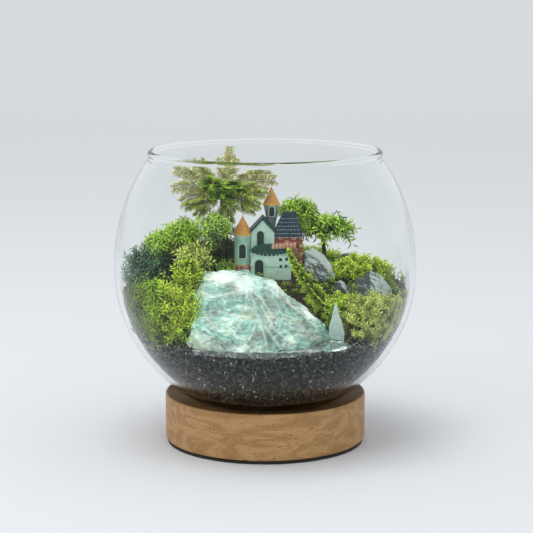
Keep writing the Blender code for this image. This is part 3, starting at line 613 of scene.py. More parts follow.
skirt_x = np.linspace(-35.0, 27.0, SKIRT_STEPS)
skirt_height = np.full(SKIRT_STEPS, GRAVEL_TOP - 2.4)
skirt_path = np.stack([skirt_x, hill_foot(skirt_x) - 1.1, skirt_height], -1)[:, None]
turns = np.linspace(0.0, 2.0 * math.pi, SKIRT_SIDES, endpoint=False)
skirt_rings = skirt_path + np.stack([0.0 * turns, 2.6 * np.cos(turns), 1.5 * np.sin(turns)], -1)
skirt_rings[[0, -1]] = skirt_path[[0, -1]] + (skirt_rings[[0, -1]] - skirt_path[[0, -1]]) * 0.05
quads = []
for ring in range(SKIRT_STEPS - 1):
    for side in range(SKIRT_SIDES):
        first = ring * SKIRT_SIDES + side
        second = ring * SKIRT_SIDES + (side + 1) % SKIRT_SIDES
        quads.append([first + SKIRT_SIDES, second + SKIRT_SIDES, second, first])
skirt = mesh_piece("resin_skirt", kept_inside(skirt_rings.reshape(-1, 3)), np.array(quads))
roughened(skirt, 0.8, 0.45, 3.0)
skirt.data.vertices.foreach_set("co", (kept_inside(places_of(skirt.data)) * MM).ravel())
skirt.data.shade_smooth()
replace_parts(skirt, "resin_hill")
dress(skirt, "clear_resin", mottled("cloudy_resin", (0.05, 0.065, 0.062), (0.42, 0.50, 0.47), 420.0,
                                    (0.1, 0.3), 0.5, 0.0004, Transmission_Weight=0.45, IOR=1.4))
pool = roughened(from_cad("resin_pool", "water_edge", 0.0005), 0.3, 0.15, 5.0)
dress(pool, "clear_resin", clear_glass("pool_resin", (0.86, 0.96, 0.92), 0.06, 1.4))


# ================================================================ stones
# Grey-green water-worn stones set in the bank, and a clear green shard of slag glass.

SLAB_SHADE_MIDDLE = (15.0, 75.0)
SLAB_SHADE_REACH = 18.5


def lit_and_shaded_stone():
    """Grey-green stone in painted light: faces turned up towards the light, and those with a tint, are
    painted a pale lit grey-green, the rest a slate-dark painted shade.
    """
    made, tree, shader = nodes_of("stone_painted_light")
    place = put(tree, "TexCoord").outputs
    grain = cloudy(tree, place["Object"], 170.0, 6.0, Roughness=0.65)
    # Painted light and shade: how far each face turns towards the light, with a little grain.
    facing = put(tree, "VectorMath", place["Normal"], (0.60, 0.05, 0.80),
                 operation="DOT_PRODUCT").outputs["Value"]
    light_facing = put(tree, "Math", grain, 0.1, facing, operation="MULTIPLY_ADD").outputs[0]
    painted_lit_face = put(tree, "Attribute", attribute_name="tint").outputs["Fac"]
    painted_light_share = put(tree, "Math", ranged(tree, light_facing, 0.52, 0.64), painted_lit_face, operation="MAXIMUM").outputs[0]
    # Lit and shaded copies of the one stone colour.
    pale = mixed(tree, grain, (0.30, 0.37, 0.33), (0.56, 0.62, 0.58))
    dark = mixed(tree, grain, (0.020, 0.028, 0.028), (0.085, 0.10, 0.098))
    fill(tree, shader, Base_Color=mixed(tree, painted_light_share, dark, pale), Normal=tooth(tree, grain, 0.6, 0.0004),
         Roughness=ranged(tree, grain, 0.0, 1.0, 0.35, 0.75))
    return made


STONE = lit_and_shaded_stone()
for node in ("leaning_slab", "ridge_stone", "pebble", "back_stone"):
    stone = roughened(from_cad(node, node + "_stone", 0.0004, 0.5, 2), 0.18, 0.08, 3.5)
    if node == "leaning_slab":
        # The slab's faces far from its shaded middle are tinted to take the painted light whichever way they
        # face.
        offset = places_of(stone.data)[:, [0, 2]] - SLAB_SHADE_MIDDLE
        reach = np.linalg.norm(offset, axis=1) / SLAB_SHADE_REACH
        tinted(stone.data, np.repeat(np.clip((reach - 1.0) * 14.0, 0.0, 1.0), 4))
    dress(stone, "grey_stone", STONE)
shard = roughened(from_cad("glass_shard", "slag_shard", 0.0003, 0.5, 3), 0.2, 0.1, 4.0)
dress(shard, "green_glass", mottled("slag_glass", (0.42, 0.60, 0.52), (0.75, 0.88, 0.81), 90.0, (0.12, 0.3),
                                    0.2, 0.0003, Transmission_Weight=0.25, IOR=1.45))


# ================================================================ little castle
# A hand-painted casting of polyester resin: two pointed towers, a gabled keep, a low front
# house under an awning, and a tiled wing with brickwork.

castle_low, castle_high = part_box("castle")
CASTLE = Vector((castle_low.x / MM + 16.3, castle_low.y / MM + 2.6, castle_high.z / MM - 125.8))
PAINTS = {
    "mint": ((0.27, 0.50, 0.37), (0.46, 0.70, 0.54)), "pale": ((0.38, 0.60, 0.49), (0.60, 0.78, 0.66)),
    "ochre": ((0.46, 0.20, 0.04), (0.68, 0.34, 0.07)), "slate": ((0.006, 0.020, 0.030), (0.03, 0.07, 0.095)),
    "tile_edge": ((0.22, 0.33, 0.42), (0.42, 0.56, 0.64)), "brick": ((0.24, 0.06, 0.04), (0.42, 0.14, 0.09)),
    "dark": ((0.002, 0.012, 0.010), (0.008, 0.035, 0.028)),
    "teal": ((0.003, 0.030, 0.026), (0.015, 0.085, 0.065)),
    "blue_grey": ((0.22, 0.26, 0.29), (0.38, 0.43, 0.45)),
    "terracotta": ((0.46, 0.22, 0.13), (0.66, 0.40, 0.27)),
    "cream": ((0.66, 0.44, 0.07), (0.80, 0.60, 0.16)),
}
PAINT_ORDER = list(PAINTS)
CONE_ROWS = 7
TILE_ROWS = 7
casting = bmesh.new()


def painted(made, paint):
    """Marks the newest faces with a paint."""
    for face in made:
        face.material_index = PAINT_ORDER.index(paint)


def block(paint, low, high, edge=0.25):
    """A box with softened edges, in the castle's millimetres."""
    low = Vector(low) + CASTLE
    high = Vector(high) + CASTLE
    place = Matrix.Translation((low + high) / 2.0) @ Matrix.Diagonal((*(high - low), 1.0))
    verts = bmesh.ops.create_cube(casting, size=1.0, matrix=place)["verts"]
    faces = {face for vert in verts for face in vert.link_faces}
    painted(faces, paint)
    edges = {side for vert in verts for side in vert.link_edges}
    edge = min(edge, 0.3 * min(high - low))
    rounded = bmesh.ops.bevel(casting, geom=list(edges), offset=edge, segments=2, affect="EDGES", profile=0.5)
    painted(rounded["faces"], paint)


def round_wall(paint, centre, low, high, radius, top=None):
    """A tower wall or a pointed roof."""
    place = Matrix.Translation(Vector((centre[0], centre[1], (low + high) / 2.0)) + CASTLE)
    verts = bmesh.ops.create_cone(casting, cap_ends=True, segments=32, radius1=radius,
                                  radius2=radius if top is None else top, depth=high - low,
                                  matrix=place)["verts"]
    painted({face for vert in verts for face in vert.link_faces}, paint)


def prism(paint, outline, near, far):
    """An outline in x and z, from y = near to y = far."""
    front = [casting.verts.new(Vector((x, near, z)) + CASTLE) for x, z in outline]
    back = [casting.verts.new(Vector((x, far, z)) + CASTLE) for x, z in outline]
    faces = [casting.faces.new(front[::-1]), casting.faces.new(back)]
    count = len(outline)
    for step in range(count):
        after = (step + 1) % count
        faces.append(casting.faces.new((front[step], front[after], back[after], back[step])))
    painted(faces, paint)


def arched(paint, x, low, high, width, near, far):
    """A doorway or window with a round head."""
    half = width / 2.0
    head = [(x + half * math.cos(a), high - half + half * math.sin(a)) for a in np.linspace(0.0, math.pi, 9)]
    prism(paint, [(x - half, low), (x + half, low)] + head, near, far)


def cone_tiles(centre, low, high, radius):
    """Overlapping rows that step up a pointed roof, over a cream eave."""
    rise = (high - low) / CONE_ROWS
    for row in range(CONE_ROWS):
        start = row / CONE_ROWS
        round_wall("ochre", centre, low + rise * row, low + rise * (row + 1.12),
                   radius * (1.0 - start) + 0.12,
                   max(0.12, radius * (1.0 - start - 1.0 / CONE_ROWS)))
    round_wall("cream", centre, low - 0.5, low + 0.25, radius + 0.15, radius + 0.3)


LEFT = (-11.2, 4.5)
REAR = (3.1, 14.0)
round_wall("mint", LEFT, 76.0, 103.4, 4.2)
round_wall("pale", LEFT, 101.9, 103.2, 4.5)
round_wall("terracotta", LEFT, 80.0, 88.3, 4.55)
for row in range(4):
    for step in range(9):
        turn = math.radians(20.0 * step - 170.0 + 10.0 * (row % 2))
        brick_x = LEFT[0] + 4.3 * math.cos(turn)
        brick_y = LEFT[1] + 4.3 * math.sin(turn)
        block("terracotta" if (row + step) % 3 else "brick",
              (brick_x - 0.65, brick_y - 0.65, 80.6 + 1.9 * row),
              (brick_x + 0.65, brick_y + 0.65, 82.2 + 1.9 * row), 0.25)
cone_tiles(LEFT, 103.4, 112.2, 4.75)
arched("pale", LEFT[0] - 0.1, 91.2, 99.2, 4.4, LEFT[1] - 4.55, LEFT[1])
arched("dark", LEFT[0] - 0.1, 91.7, 98.7, 3.3, LEFT[1] - 4.75, LEFT[1])
prism("pale", [(-7.0, 76.0), (4.5, 76.0), (4.5, 105.0), (-1.3, 111.3), (-7.0, 105.0)], 2.5, 15.0)
prism("teal", [(-7.9, 104.6), (-7.3, 103.9), (-1.3, 110.5), (4.7, 103.9), (5.3, 104.6), (-1.3, 111.7)], 2.0,
      15.2)
arched("mint", -2.4, 97.6, 105.6, 4.6, 2.0, 4.0)
arched("dark", -2.4, 98.2, 105.0, 3.4, 1.8, 4.0)
block("pale", (-7.2, -2.0, 75.5), (13.0, 6.0, 94.2), 1.0)
block("mint", (-7.5, -2.3, 87.5), (13.2, 6.0, 88.4), 0.3)
block("mint", (-7.5, -2.3, 93.2), (13.2, 6.0, 94.3), 0.3)
arched("mint", -3.0, 82.0, 91.9, 5.4, -2.5, 0.0)
arched("dark", -3.0, 82.0, 91.3, 4.2, -2.6, 0.0)
for window_x, window_z in ((7.6, 91.3), (10.6, 91.5), (7.7, 87.9), (10.3, 88.0)):
    block("dark", (window_x - 0.8, -2.35, window_z - 0.8), (window_x + 0.8, -1.0, window_z + 0.8), 0.4)
AWNING = [(-7.0, 96.0), (-5.2, 94.6), (-2.0, 93.7), (2.0, 93.4), (6.0, 93.7), (9.4, 94.5), (11.4, 95.7),
          (8.0, 97.6), (3.0, 98.7), (-2.0, 98.6), (-5.4, 97.4)]
prism("teal", AWNING, -2.2, 6.0)
HEMS = ((-5.6, 95.0), (-3.7, 94.2), (-1.8, 93.8), (0.2, 93.6), (2.2, 93.5), (4.2, 93.6), (6.2, 93.9),
        (8.1, 94.3), (9.9, 95.0))
for lobe, hem in HEMS:
    block("teal", (lobe - 0.95, -2.5, hem - 0.5), (lobe + 0.95, 1.0, hem + 1.6), 0.6)
for step in range(7):
    tile = 4.0 + 1.75 * step
    block("terracotta", (tile - 0.8, -2.7, 96.5 + 0.10 * step), (tile + 0.8, 5.0, 98.6 + 0.10 * step), 0.5)
round_wall("blue_grey", REAR, 103.5, 117.1, 1.6, 4.0)
round_wall("blue_grey", REAR, 115.6, 117.1, 3.9, 4.15)
cone_tiles(REAR, 117.1, 125.6, 4.1)
arched("pale", REAR[0] + 0.2, 111.0, 116.5, 3.4, REAR[1] - 4.2, REAR[1])
arched("dark", REAR[0] + 0.2, 111.4, 116.1, 2.5, REAR[1] - 4.35, REAR[1])
block("brick", (4.0, 4.4, 76.0), (16.6, 17.0, 102.2))
for row in range(9):
    for step in range(6):
        start = 4.3 + 2.2 * step + (1.1 if row % 2 else 0.0)
        level = 84.2 + 2.0 * row
        block("brick" if (row + step) % 3 else "terracotta", (start, 4.0, level),
              (min(start + 2.0, 17.2), 6.0, level + 1.75), 0.2)
prism("slate", [(3.8, 102.0), (18.2, 102.0), (15.4, 112.7), (8.8, 112.7)], 9.0, 10.5)
for row in range(TILE_ROWS):
    part = row / (TILE_ROWS - 1)
    left = 3.7 + 4.9 * part
    width = 14.6 - 7.7 * part
    level = 101.9 + 10.4 * part
    near = 3.2 + 6.3 * part
    for step in range(TILE_ROWS):
        start = left + width * step / TILE_ROWS
        end = start + width / TILE_ROWS
        block("slate", (start + 0.06, near, level - 0.5), (end - 0.06, near + 2.6, level + 1.3), 0.25)
        block("tile_edge", (start + 0.2, near - 0.12, level - 0.5), (end - 0.2, near + 0.5, level - 0.1),
              0.15)
block("slate", (3.7, 9.4, 101.8), (18.3, 18.0, 103.0))
prism("slate", [(3.8, 102.8), (18.2, 102.8), (15.4, 113.0), (8.8, 113.0)], 9.6, 12.0)
for row in range(10):
    block("terracotta" if row % 2 else "brick", (15.8, 4.0, 82.2 + 2.0 * row), (18.6, 8.0, 84.0 + 2.0 * row),
          0.3)
castle_mesh = bpy.data.meshes.new("painted_castle")
bmesh.ops.scale(casting, vec=(MM, MM, MM), verts=casting.verts)
bmesh.ops.recalc_face_normals(casting, faces=casting.faces)
casting.to_mesh(castle_mesh)
casting.free()
castle = shown("painted_castle", castle_mesh)
castle_mesh.shade_smooth()
castle_mesh.set_sharp_from_angle(angle=math.radians(35.0))
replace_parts(castle, "castle")
dress(castle, "painted_resin", *[mottled("paint_" + label, dark, light, 350.0, (0.45, 0.7), 0.35, 0.0002)
                                 for label, (dark, light) in PAINTS.items()])


# ================================================================ moss
# Living mosses, grown in shoots: a thin stem set all round with tiny pointed leaves. Each
# leaf here is a closed sliver with a raised midrib, and each plant is one joined piece.

LEAF = np.array([[0.0, 0.0, 0.0], [0.4, 0.5, 0.03], [0.4, -0.5, 0.03], [1.0, 0.0, -0.12], [0.45, 0.0, 0.16]])
LEAF_FACES = np.array([[0, 2, 3], [0, 3, 1], [0, 1, 4], [1, 3, 4], [3, 2, 4], [2, 0, 4]])[:, ::-1]
FRINGE_COUNT = 34
SHADE_COUNT = 90
COVER_COUNT = 900
STEM_SIDES = 3
STEM_RINGS = 4


def unit(vectors):
    return vectors / np.maximum(np.linalg.norm(vectors, axis=-1, keepdims=True), 1e-9)


def leaves(base, along, facing, length, width, tint):
    """Leaf slivers at `base`, pointing along `along`, with the upper side towards `facing`."""
    along = unit(along)
    side = unit(np.cross(facing, along))
    up = np.cross(along, side)
    points = (base[:, None] + LEAF[None, :, :1] * (along * length[:, None])[:, None]
              + LEAF[None, :, 1:2] * (side * width[:, None])[:, None]
              + LEAF[None, :, 2:] * (up * length[:, None])[:, None])
    faces = LEAF_FACES[None] + (np.arange(len(base)) * len(LEAF))[:, None, None]
    return points.reshape(-1, 3), faces.reshape(-1, 3), np.repeat(tint, len(LEAF), axis=0)


def shoots(base, direction, length, bend, leaf, count, spread=0.9, flat=None, thick=0.22, slim=0.42):
    """Leafy shoots. `bend` curves each one; `leaf` is its leaves' length and width; `flat` is the normal
    of the plane that its leaves lie in, or None for leaves all round."""
    many = len(base)
    each = (many, count, 1)
    direction = unit(direction)
    step = np.linspace(0.04, 1.0, count)[None, :, None]
    curve = direction[:, None] * step + bend[:, None] * step ** 2 * 0.5
    centre = base[:, None] + length[:, None, None] * curve
    tangent = unit(direction[:, None] + bend[:, None] * step)
    helper = unit(random.normal(size=(many, 1, 3)) + 0.001)
    across = unit(np.cross(tangent, np.broadcast_to(helper, tangent.shape)))
    if flat is not None:
        across = unit(np.cross(tangent, np.broadcast_to(flat[:, None], tangent.shape)))
    other = np.cross(tangent, across)
    turn = (np.arange(count) * 2.4)[None, :, None] + random.uniform(0.0, 6.28, (many, 1, 1))
    if flat is not None:
        turn = np.where(np.arange(count) % 2, 0.0, math.pi)[None, :, None] \
            + random.uniform(-0.35, 0.35, each)
    outward = across * np.cos(turn) + other * np.sin(turn)
    pointing = tangent * (1.0 - 0.35 * spread) + outward * spread
    size = np.sin(np.clip(step * 2.6, 0.35, 2.85)) * 0.45 + 0.6
    long = (leaf[:, None, None] * size * random.uniform(0.75, 1.2, each))
    tint = np.concatenate([np.broadcast_to(step, each),
                           np.broadcast_to(random.random((many, 1, 1)), each),
                           random.random(each)], -1)
    points, faces, tints = leaves(centre.reshape(-1, 3), pointing.reshape(-1, 3), tangent.reshape(-1, 3),
                                  long.reshape(-1), long.reshape(-1) * slim, tint.reshape(-1, 3))
    picks = np.linspace(0, count - 1, STEM_RINGS).astype(int)
    rings = []
    for number, pick in enumerate(picks):
        radius = thick * (1.0 - 0.7 * number / (STEM_RINGS - 1))
        for side in range(STEM_SIDES):
            angle = 2.0 * math.pi * side / STEM_SIDES
            rings.append(centre[:, pick] + radius * (across[:, pick] * math.cos(angle)
                                                     + other[:, pick] * math.sin(angle)))
    tube = np.stack(rings, 1)
    walls = []
    for ring in range(STEM_RINGS - 1):
        for side in range(STEM_SIDES):
            after = (side + 1) % STEM_SIDES
            a, b = ring * STEM_SIDES + side, ring * STEM_SIDES + after
            walls += [[a, b, b + STEM_SIDES], [a, b + STEM_SIDES, a + STEM_SIDES]]
    top = (STEM_RINGS - 1) * STEM_SIDES
    walls += [[2, 1, 0], [top, top + 1, top + 2]]
    tube_faces = np.array(walls)[None] + (np.arange(many) * tube.shape[1])[:, None, None]
    stem_tint = np.tile([0.0, 0.3, 0.2], (tube.shape[0] * tube.shape[1], 1))
    all_faces = np.concatenate([faces, tube_faces.reshape(-1, 3) + len(points)])
    return np.concatenate([points, tube.reshape(-1, 3)]), all_faces, np.concatenate([tints, stem_tint])


def leaf_finish(name, dark, middle, tip):
    """Moss leaves: dark and brownish at the foot of a shoot, bright and a little glossy at its tip; the
    bright colours are raised as painted glow for light shining through the thin leaves.
    """
    made, tree, shader = nodes_of(name)
    parts = tint_parts(tree)
    fresh = ramped(tree, parts["Red"], [(0.1, dark), (0.95, tip), (0.55, middle)])
    shaded = mixed(tree, 1.0, fresh, ranged(tree, parts["Blue"], 0.0, 1.0, 0.65, 1.35), "MULTIPLY")
    aged = ranged(tree, parts["Green"], 0.80, 1.0, 0.0, 0.6)
    fill(tree, shader, Base_Color=mixed(tree, aged, shaded, (0.10, 0.06, 0.015)), Specular_IOR_Level=0.35,
         Roughness=ranged(tree, parts["Blue"], 0.0, 1.0, 0.38, 0.62))
    return made


# These leaf colours, the tips and the golden moss above all, are set brighter than the leaves' own colour:
# painted glow for light shining through the leaves.
LIME = leaf_finish("lime_leaf", (0.04, 0.08, 0.006), (0.33, 0.54, 0.02), (0.74, 0.93, 0.09))
DEEP = leaf_finish("deep_leaf", (0.010, 0.028, 0.012), (0.035, 0.105, 0.045), (0.10, 0.23, 0.09))
LEAFY = leaf_finish("green_leaf", (0.025, 0.055, 0.006), (0.19, 0.38, 0.02), (0.52, 0.78, 0.09))
OLIVE = leaf_finish("olive_leaf", (0.12, 0.15, 0.015), (0.42, 0.52, 0.07), (0.76, 0.84, 0.22))
GOLDEN = leaf_finish("golden_leaf", (0.46, 0.46, 0.13), (0.84, 0.84, 0.34), (0.98, 0.94, 0.62))


def planted(name, grown, node, slot, made):
    """One piece of shoots, kept inside the glass, in place of a CAD solid."""
    points, faces, tints = grown
    piece = mesh_piece(name, kept_inside(points), faces, tints)
    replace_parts(piece, node)
    return dress(piece, slot, made)


def around(centre, spread, count):
    """Places scattered about a centre."""
    return np.array(centre) + random.uniform(-1.0, 1.0, (count, 3)) * spread


def loose(base, heading, waver, length, leaf, count, bend=0.3, slim=0.42):
    """Shoots from given places; `length` is a range, and `leaf` is a range or one size."""
    many = len(base)
    direction = random.normal(size=(many, 3)) * waver + heading
    lengths = random.uniform(*length, many)
    bends = random.normal(scale=bend, size=(many, 3))
    sizes = random.uniform(*leaf, many) if isinstance(leaf, tuple) else np.full(many, leaf)
    return shoots(base, direction, lengths, bends, sizes, count, slim=slim)


def moss_from(node, name, count, length, leaf, made, slot, leaf_count, upward=0.7, sag=0.35, slim=0.34,
              painted_shade_span=None):
    """A clump that fills a CAD solid: shoots start inside it and end at its skin."""
    corners = triangles_of(node)
    spots, normals = scattered(corners, count, lambda middle, normal: np.clip(normal[:, 2] + 0.75, 0.05, 1.0))
    low, high = corners.reshape(-1, 3).min(0), corners.reshape(-1, 3).max(0)
    direction = unit(normals + np.array([0.0, 0.0, upward]) + random.normal(scale=0.33, size=normals.shape))
    reach = length * random.uniform(0.65, 1.15, count)
    base = spots - direction * (reach * 0.82)[:, None]
    base[:, 2] = np.maximum(base[:, 2], low[2] + 0.4)
    bend = random.normal(scale=0.28, size=normals.shape) + np.array([0.0, 0.0, -sag]) + unit(
        normals * np.array([1.0, 1.0, 0.0]) + 1e-6) * 0.2
    sizes = leaf * random.uniform(0.8, 1.2, count)
    points, faces, tints = shoots(base, direction, reach, bend, sizes, leaf_count, slim=slim)
    # Painted shade: leaves towards the low-x end of the span are pushed towards the dark foot colour.
    if painted_shade_span:
        tints[:, 0] *= np.interp(points[:, 0], painted_shade_span, [0.3, 1.0])
    return planted(name, (points, faces, tints), node, slot, made)


# The left cushion's left side gets painted shade.
moss_from("left_moss", "left_cushion", 330, 18.0, 3.5, LIME, "lime_moss", 26, slim=0.2, painted_shade_span=(-64.0, -44.0))
fringe = loose(around((-41.0, -34.0, 62.0), (5.0, 5.0, 9.0), FRINGE_COUNT), (0.65, -0.55, 0.55), 0.28,
               (11.0, 17.0), (2.6, 3.6), 24, slim=0.2)
planted("left_fringe", fringe, "left_moss", "lime_moss", LIME)
moss_from("dark_fern", "dark_fern_clump", 120, 13.0, 3.2, DEEP, "dark_moss", 20)
moss_from("rear_left_moss", "rear_left_clump", 190, 13.0, 2.6, DEEP, "dark_moss", 24)
moss_from("behind_trunk_moss", "trunk_foot_clump", 150, 12.0, 2.4, DEEP, "dark_moss", 24)
shade = loose(around((-23.0, 16.0, 96.0), (3.0, 2.0, 13.0), SHADE_COUNT), (0.0, 0.0, 0.0), (1.0, 0.6, 0.5),
              (5.0, 8.0), (1.8, 2.6), 18)
planted("trunk_moss", shade, "behind_trunk_moss", "dark_moss", DEEP)
moss_from("rear_moss_mat", "rear_mat", 300, 9.0, 2.2, LIME, "lime_moss", 20)
spots, normals = scattered(triangles_of("soil_bank"), COVER_COUNT,
                           lambda middle, normal: (normal[:, 2] > 0.3) * 1.0)
cover = loose(spots - normals * 0.6, normals, 0.5, (3.5, 7.5), (1.3, 2.2), 12, bend=0.4)
planted("ground_cover", cover, "soil_bank", "lime_moss", LEAFY)
moss_from("small_tuft", "small_tuft_shoots", 34, 7.0, 2.2, LEAFY, "tree_moss", 18)
moss_from("right_rear_moss", "right_rear_cushion", 190, 10.0, 2.4, LIME, "lime_moss", 22)
moss_from("right_front_moss", "right_front_cushion", 340, 11.0, 2.3, OLIVE, "tree_moss", 26)
moss_from("middle_moss", "middle_shoots", 110, 10.0, 2.2, LIME, "lime_moss", 22)
TUFTS = (("top", LEAFY, 45), ("left", LEAFY, 95), ("low_left", LEAFY, 95), ("middle", OLIVE, 80))
for tuft, look, count in TUFTS:
    moss_from("bush_tuft_" + tuft, "bush_shoots_" + tuft, count, 11.0, 3.5, look, "lime_moss", 22, slim=0.25)
moss_from("small_tree_moss_crown", "small_tree_crown", 80, 12.0, 4.4, LEAFY, "tree_moss", 15, 0.3, 0.9, 0.26)
moss_from("back_bush_crown", "back_bush_shoots", 75, 8.5, 3.8, LEAFY, "tree_moss", 15, 0.3, 0.4, 0.26)


# ================================================================ moss fronds and stems
# The tall tree moss is a dark wiry stem that forks into flat, feathered fronds; a sprig and
# one long arching frond are made the same way.

BARK = mottled("moss_bark", (0.012, 0.009, 0.004), (0.075, 0.055, 0.020), 900.0, (0.6, 0.85), 0.8, 0.0003)
for node in ("tree_moss_stem", "bush_stem", "small_tree_moss_stem", "back_bush_stem"):
    stem = roughened(from_cad(node, node + "_bark", 0.00022, 0.4, 3), 0.12, 0.08, 1.6)
    dress(stem, "moss_stem", BARK)


def middle_line(node, start_near):
    """A frond solid's middle line from its root, its half widths, and the normal of its plane."""
    where = np.unique(np.round(places_of(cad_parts[node].data), 4), axis=0)
    middle = where.mean(0)
    spread, axes = np.linalg.eigh(np.cov((where - middle).T))
    along, wide, normal = axes[:, 2], axes[:, 1], axes[:, 0]
    if np.linalg.norm(middle + along * 5.0 - start_near) < np.linalg.norm(middle - along * 5.0 - start_near):
        along = -along
    run = (where - middle) @ along
    stations = np.linspace(run.min(), run.max(), 7)
    line, half = [], []
    for low, high in zip(stations, stations[1:]):
        centre = (low + high) / 2.0
        inside = where[np.argsort(np.abs(run - centre))[:max(6, int((np.abs(run - centre) < 3.0).sum()))]]
        line.append(inside.mean(0))
        half.append(np.abs((inside - inside.mean(0)) @ wide).max())
    line[0] = line[0] - along * (stations[1] - stations[0]) * 0.5
    line[-1] = line[-1] + along * (stations[1] - stations[0]) * 0.5
    return np.array(line), np.array(half), wide, normal


def feathered(line, half, wide, normal, spacing, leaf):
    """A flat frond: a rib with leafy side shoots in pairs, longest in the middle."""
    total = np.linalg.norm(np.diff(line, axis=0), axis=1).sum()
    pairs = int(total / spacing)
    share = np.linspace(0.03, 0.98, pairs)
    spots = np.stack([np.interp(share, np.linspace(0, 1, len(line)), line[:, axis]) for axis in range(3)], -1)
    reach = np.interp(share, np.linspace(0, 1, len(half)), half)
    ahead = unit(np.gradient(spots, axis=0))
    found = []
    for side in (1.0, -1.0):
        direction = unit(wide[None] * side + ahead * random.uniform(0.55, 0.85, (pairs, 1))
                         + random.normal(scale=0.12, size=(pairs, 3)))
        bend = ahead * 0.35 + np.array([0.0, 0.0, -0.3]) + random.normal(scale=0.1, size=(pairs, 3))
        length = np.maximum(reach * random.uniform(0.85, 1.25, pairs), 1.2)
        flat = np.broadcast_to(normal, (pairs, 3)) + random.normal(scale=0.2, size=(pairs, 3))
        found.append(shoots(spots, direction, length, bend, np.full(pairs, leaf), 16, 0.75, flat, 0.16))
    rib_bend = (line[-1] - 2.0 * line[len(line) // 2] + line[0])[None] / max(total, 1.0)
    found.append(shoots(line[:1], (line[-1] - line[0])[None] / total - rib_bend * 0.5, np.array([total]),
                        rib_bend, np.array([leaf]), 40, 0.6, normal[None], 0.3))
    return found


def joined(parts):
    """Several (points, faces, tints) as one."""
    offset = 0
    points, faces, tints = [], [], []
    for some_points, some_faces, some_tints in parts:
        points.append(some_points)
        faces.append(some_faces + offset)
        tints.append(some_tints)
        offset += len(some_points)
    return np.concatenate(points), np.concatenate(faces), np.concatenate(tints)


def fan_of(line, wide, normal, count, angle):
    """The middle line turned about its root, in its plane, into several."""
    found = []
    for turn in np.linspace(-angle, angle, count):
        spin = np.array(Matrix.Rotation(math.radians(turn), 3, Vector(normal)))
        tilt = np.array(Matrix.Rotation(math.radians(random.uniform(-14.0, 14.0)), 3, Vector(wide)))
        shrink = 1.0 - 0.25 * abs(turn) / max(angle, 1.0)
        found.append((line[0] + (line - line[0]) @ (tilt @ spin).T * shrink, spin @ wide, tilt @ normal))
    return found


ROSETTE_COUNT = 40
SPRAY_COUNT = 36
tree_low, tree_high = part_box("tree_moss_stem")
CROWN = np.array([(tree_low.x + tree_high.x) / 2.0, (tree_low.y + tree_high.y) / 2.0, 0.121]) / MM
FRONDS = {
    "left": (4, 30.0, GOLDEN, "yellow_moss"), "low_left": (3, 28.0, OLIVE, "tree_moss"),
    "right": (4, 16.0, GOLDEN, "yellow_moss"), "low_right": (4, 24.0, OLIVE, "tree_moss"),
    "front": (5, 60.0, LEAFY, "tree_moss"), "hanging": (3, 30.0, OLIVE, "tree_moss"),
    "crown": (3, 14.0, GOLDEN, "yellow_moss"), "rear": (2, 12.0, OLIVE, "tree_moss"),
}
for label, (count, angle, look, slot) in FRONDS.items():
    node = "tree_moss_frond_" + label
    line, half, wide, normal = middle_line(node, CROWN)
    line[0] = line[0] * 0.35 + CROWN * 0.65
    parts = []
    for turned_line, turned_wide, turned_normal in fan_of(line, wide, normal, count, angle):
        parts += feathered(turned_line, np.clip(half * 0.62, 2.0, 5.5), turned_wide, turned_normal, 0.95,
                           1.45)
    if label == "front":
        parts.append(loose(np.tile(CROWN, (ROSETTE_COUNT, 1)), (0.0, -0.5, 0.5), (1.0, 0.8, 0.7),
                           (7.0, 12.0), 2.3, 20))
    planted("frond_" + label, joined(parts), node, slot, look)
STRANDS = {
    "lime_sprig": ([(-39.5, -20.5, 78.6), (-38.6, -21.0, 83.0), (-37.6, -21.3, 87.5), (-36.4, -21.0, 92.5)],
                   [7.0, 7.0, 5.0, 2.0]),
    "arching_frond": ([(30.6, -31.5, 72.0), (26.4, -31.0, 76.0), (23.6, -30.0, 80.0), (18.4, -26.0, 87.0),
                       (14.2, -20.0, 92.0), (11.6, -14.0, 98.0)], [4.5, 4.2, 3.6, 2.4, 1.3, 0.6]),
}
for node, (path, breadth) in STRANDS.items():
    line = np.array(path)
    ahead = unit(line[-1] - line[0])
    wide = unit(np.cross(ahead, np.array([0.1, -1.0, 0.25])))
    leaf = 2.4 if node == "lime_sprig" else 1.7
    parts = feathered(line, np.array(breadth) * 1.2, wide, np.cross(ahead, wide), 1.9, leaf)
    parts += feathered(line, np.array(breadth) * 0.7, np.cross(ahead, wide), wide, 3.0, leaf)
    if node == "lime_sprig":
        spray_base = np.tile(line[0] - (0.0, 0.0, 2.0), (SPRAY_COUNT, 1))
        parts.append(loose(spray_base, (0.1, -0.15, 1.0), (0.55, 0.4, 0.2), (9.0, 15.0), 2.8, 20, slim=0.22))
    planted(node + "_shoots", joined(parts), node, "lime_moss", LIME)
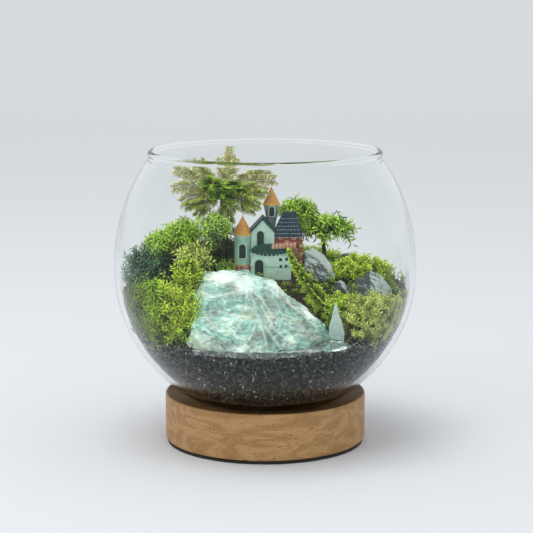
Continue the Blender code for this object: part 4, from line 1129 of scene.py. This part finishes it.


# ================================================================ studio
# A pale seamless floor, one large soft light overhead, a softer one from the left, a pale
# sky all round, and a long lens a little above the bowl.

LIT_MIDDLE = Vector((0.0, 0.0, 0.08))
FOCAL_LENGTH = 121.2
CAMERA_PLACE = (0.00064, -0.877, 0.2399)
CAMERA_TILT = 80.143


def paper_floor():
    """The seamless floor, which runs out to the horizon; its paper colour grows lighter towards the back, as
    painted light.
    """
    mesh = bpy.data.meshes.new("paper_floor")
    mesh.from_pydata([(-40.0, -6.0, 0.0), (40.0, -6.0, 0.0), (40.0, 60.0, 0.0), (-40.0, 60.0, 0.0)], [],
                     [(0, 1, 2, 3)])
    paper, tree, shader = nodes_of("paper")
    back = put(tree, "SeparateXYZ", place_of(tree)).outputs["Y"]
    # Painted light: the paper is painted lighter from 0.3 m to 3 m back.
    far = ranged(tree, back, 0.3, 3.0, interpolation_type="SMOOTHSTEP")
    fill(tree, shader, Base_Color=mixed(tree, far, (0.765, 0.775, 0.790), (0.86, 0.87, 0.87)), Roughness=1.0,
         Specular_IOR_Level=0.0)
    mesh.materials.append(paper)
    shown("paper_floor", mesh)


def soft_light(name, place, size, power):
    """A square light aimed at the middle of the bowl, and not seen in the glass."""
    data = bpy.data.lights.new(name, "AREA")
    data.shape = "SQUARE"
    data.size = size
    data.energy = power
    made = shown(name, data)
    made.location = place
    made.rotation_euler = (LIT_MIDDLE - Vector(place)).to_track_quat("-Z", "Y").to_euler()
    made.visible_glossy = False


paper_floor()
soft_light("overhead", (-0.2, -0.15, 1.1), 0.7, 4.0)
soft_light("left_window", (-1.0, -1.0, 0.8), 0.6, 2.2)
sky = bpy.data.worlds.new("studio_sky")
scene.world = sky
sky.use_nodes = True
fill(sky.node_tree, sky.node_tree.nodes["Background"], Color=(0.93, 0.96, 1.0), Strength=0.84)
lens = bpy.data.cameras.new("long_lens")
lens.sensor_width = 36.0
lens.lens = FOCAL_LENGTH
camera = shown("long_lens", lens)
camera.location = CAMERA_PLACE
camera.rotation_euler = (math.radians(CAMERA_TILT), 0.0, 0.0)
scene.camera = camera
scene.view_settings.view_transform = "Standard"
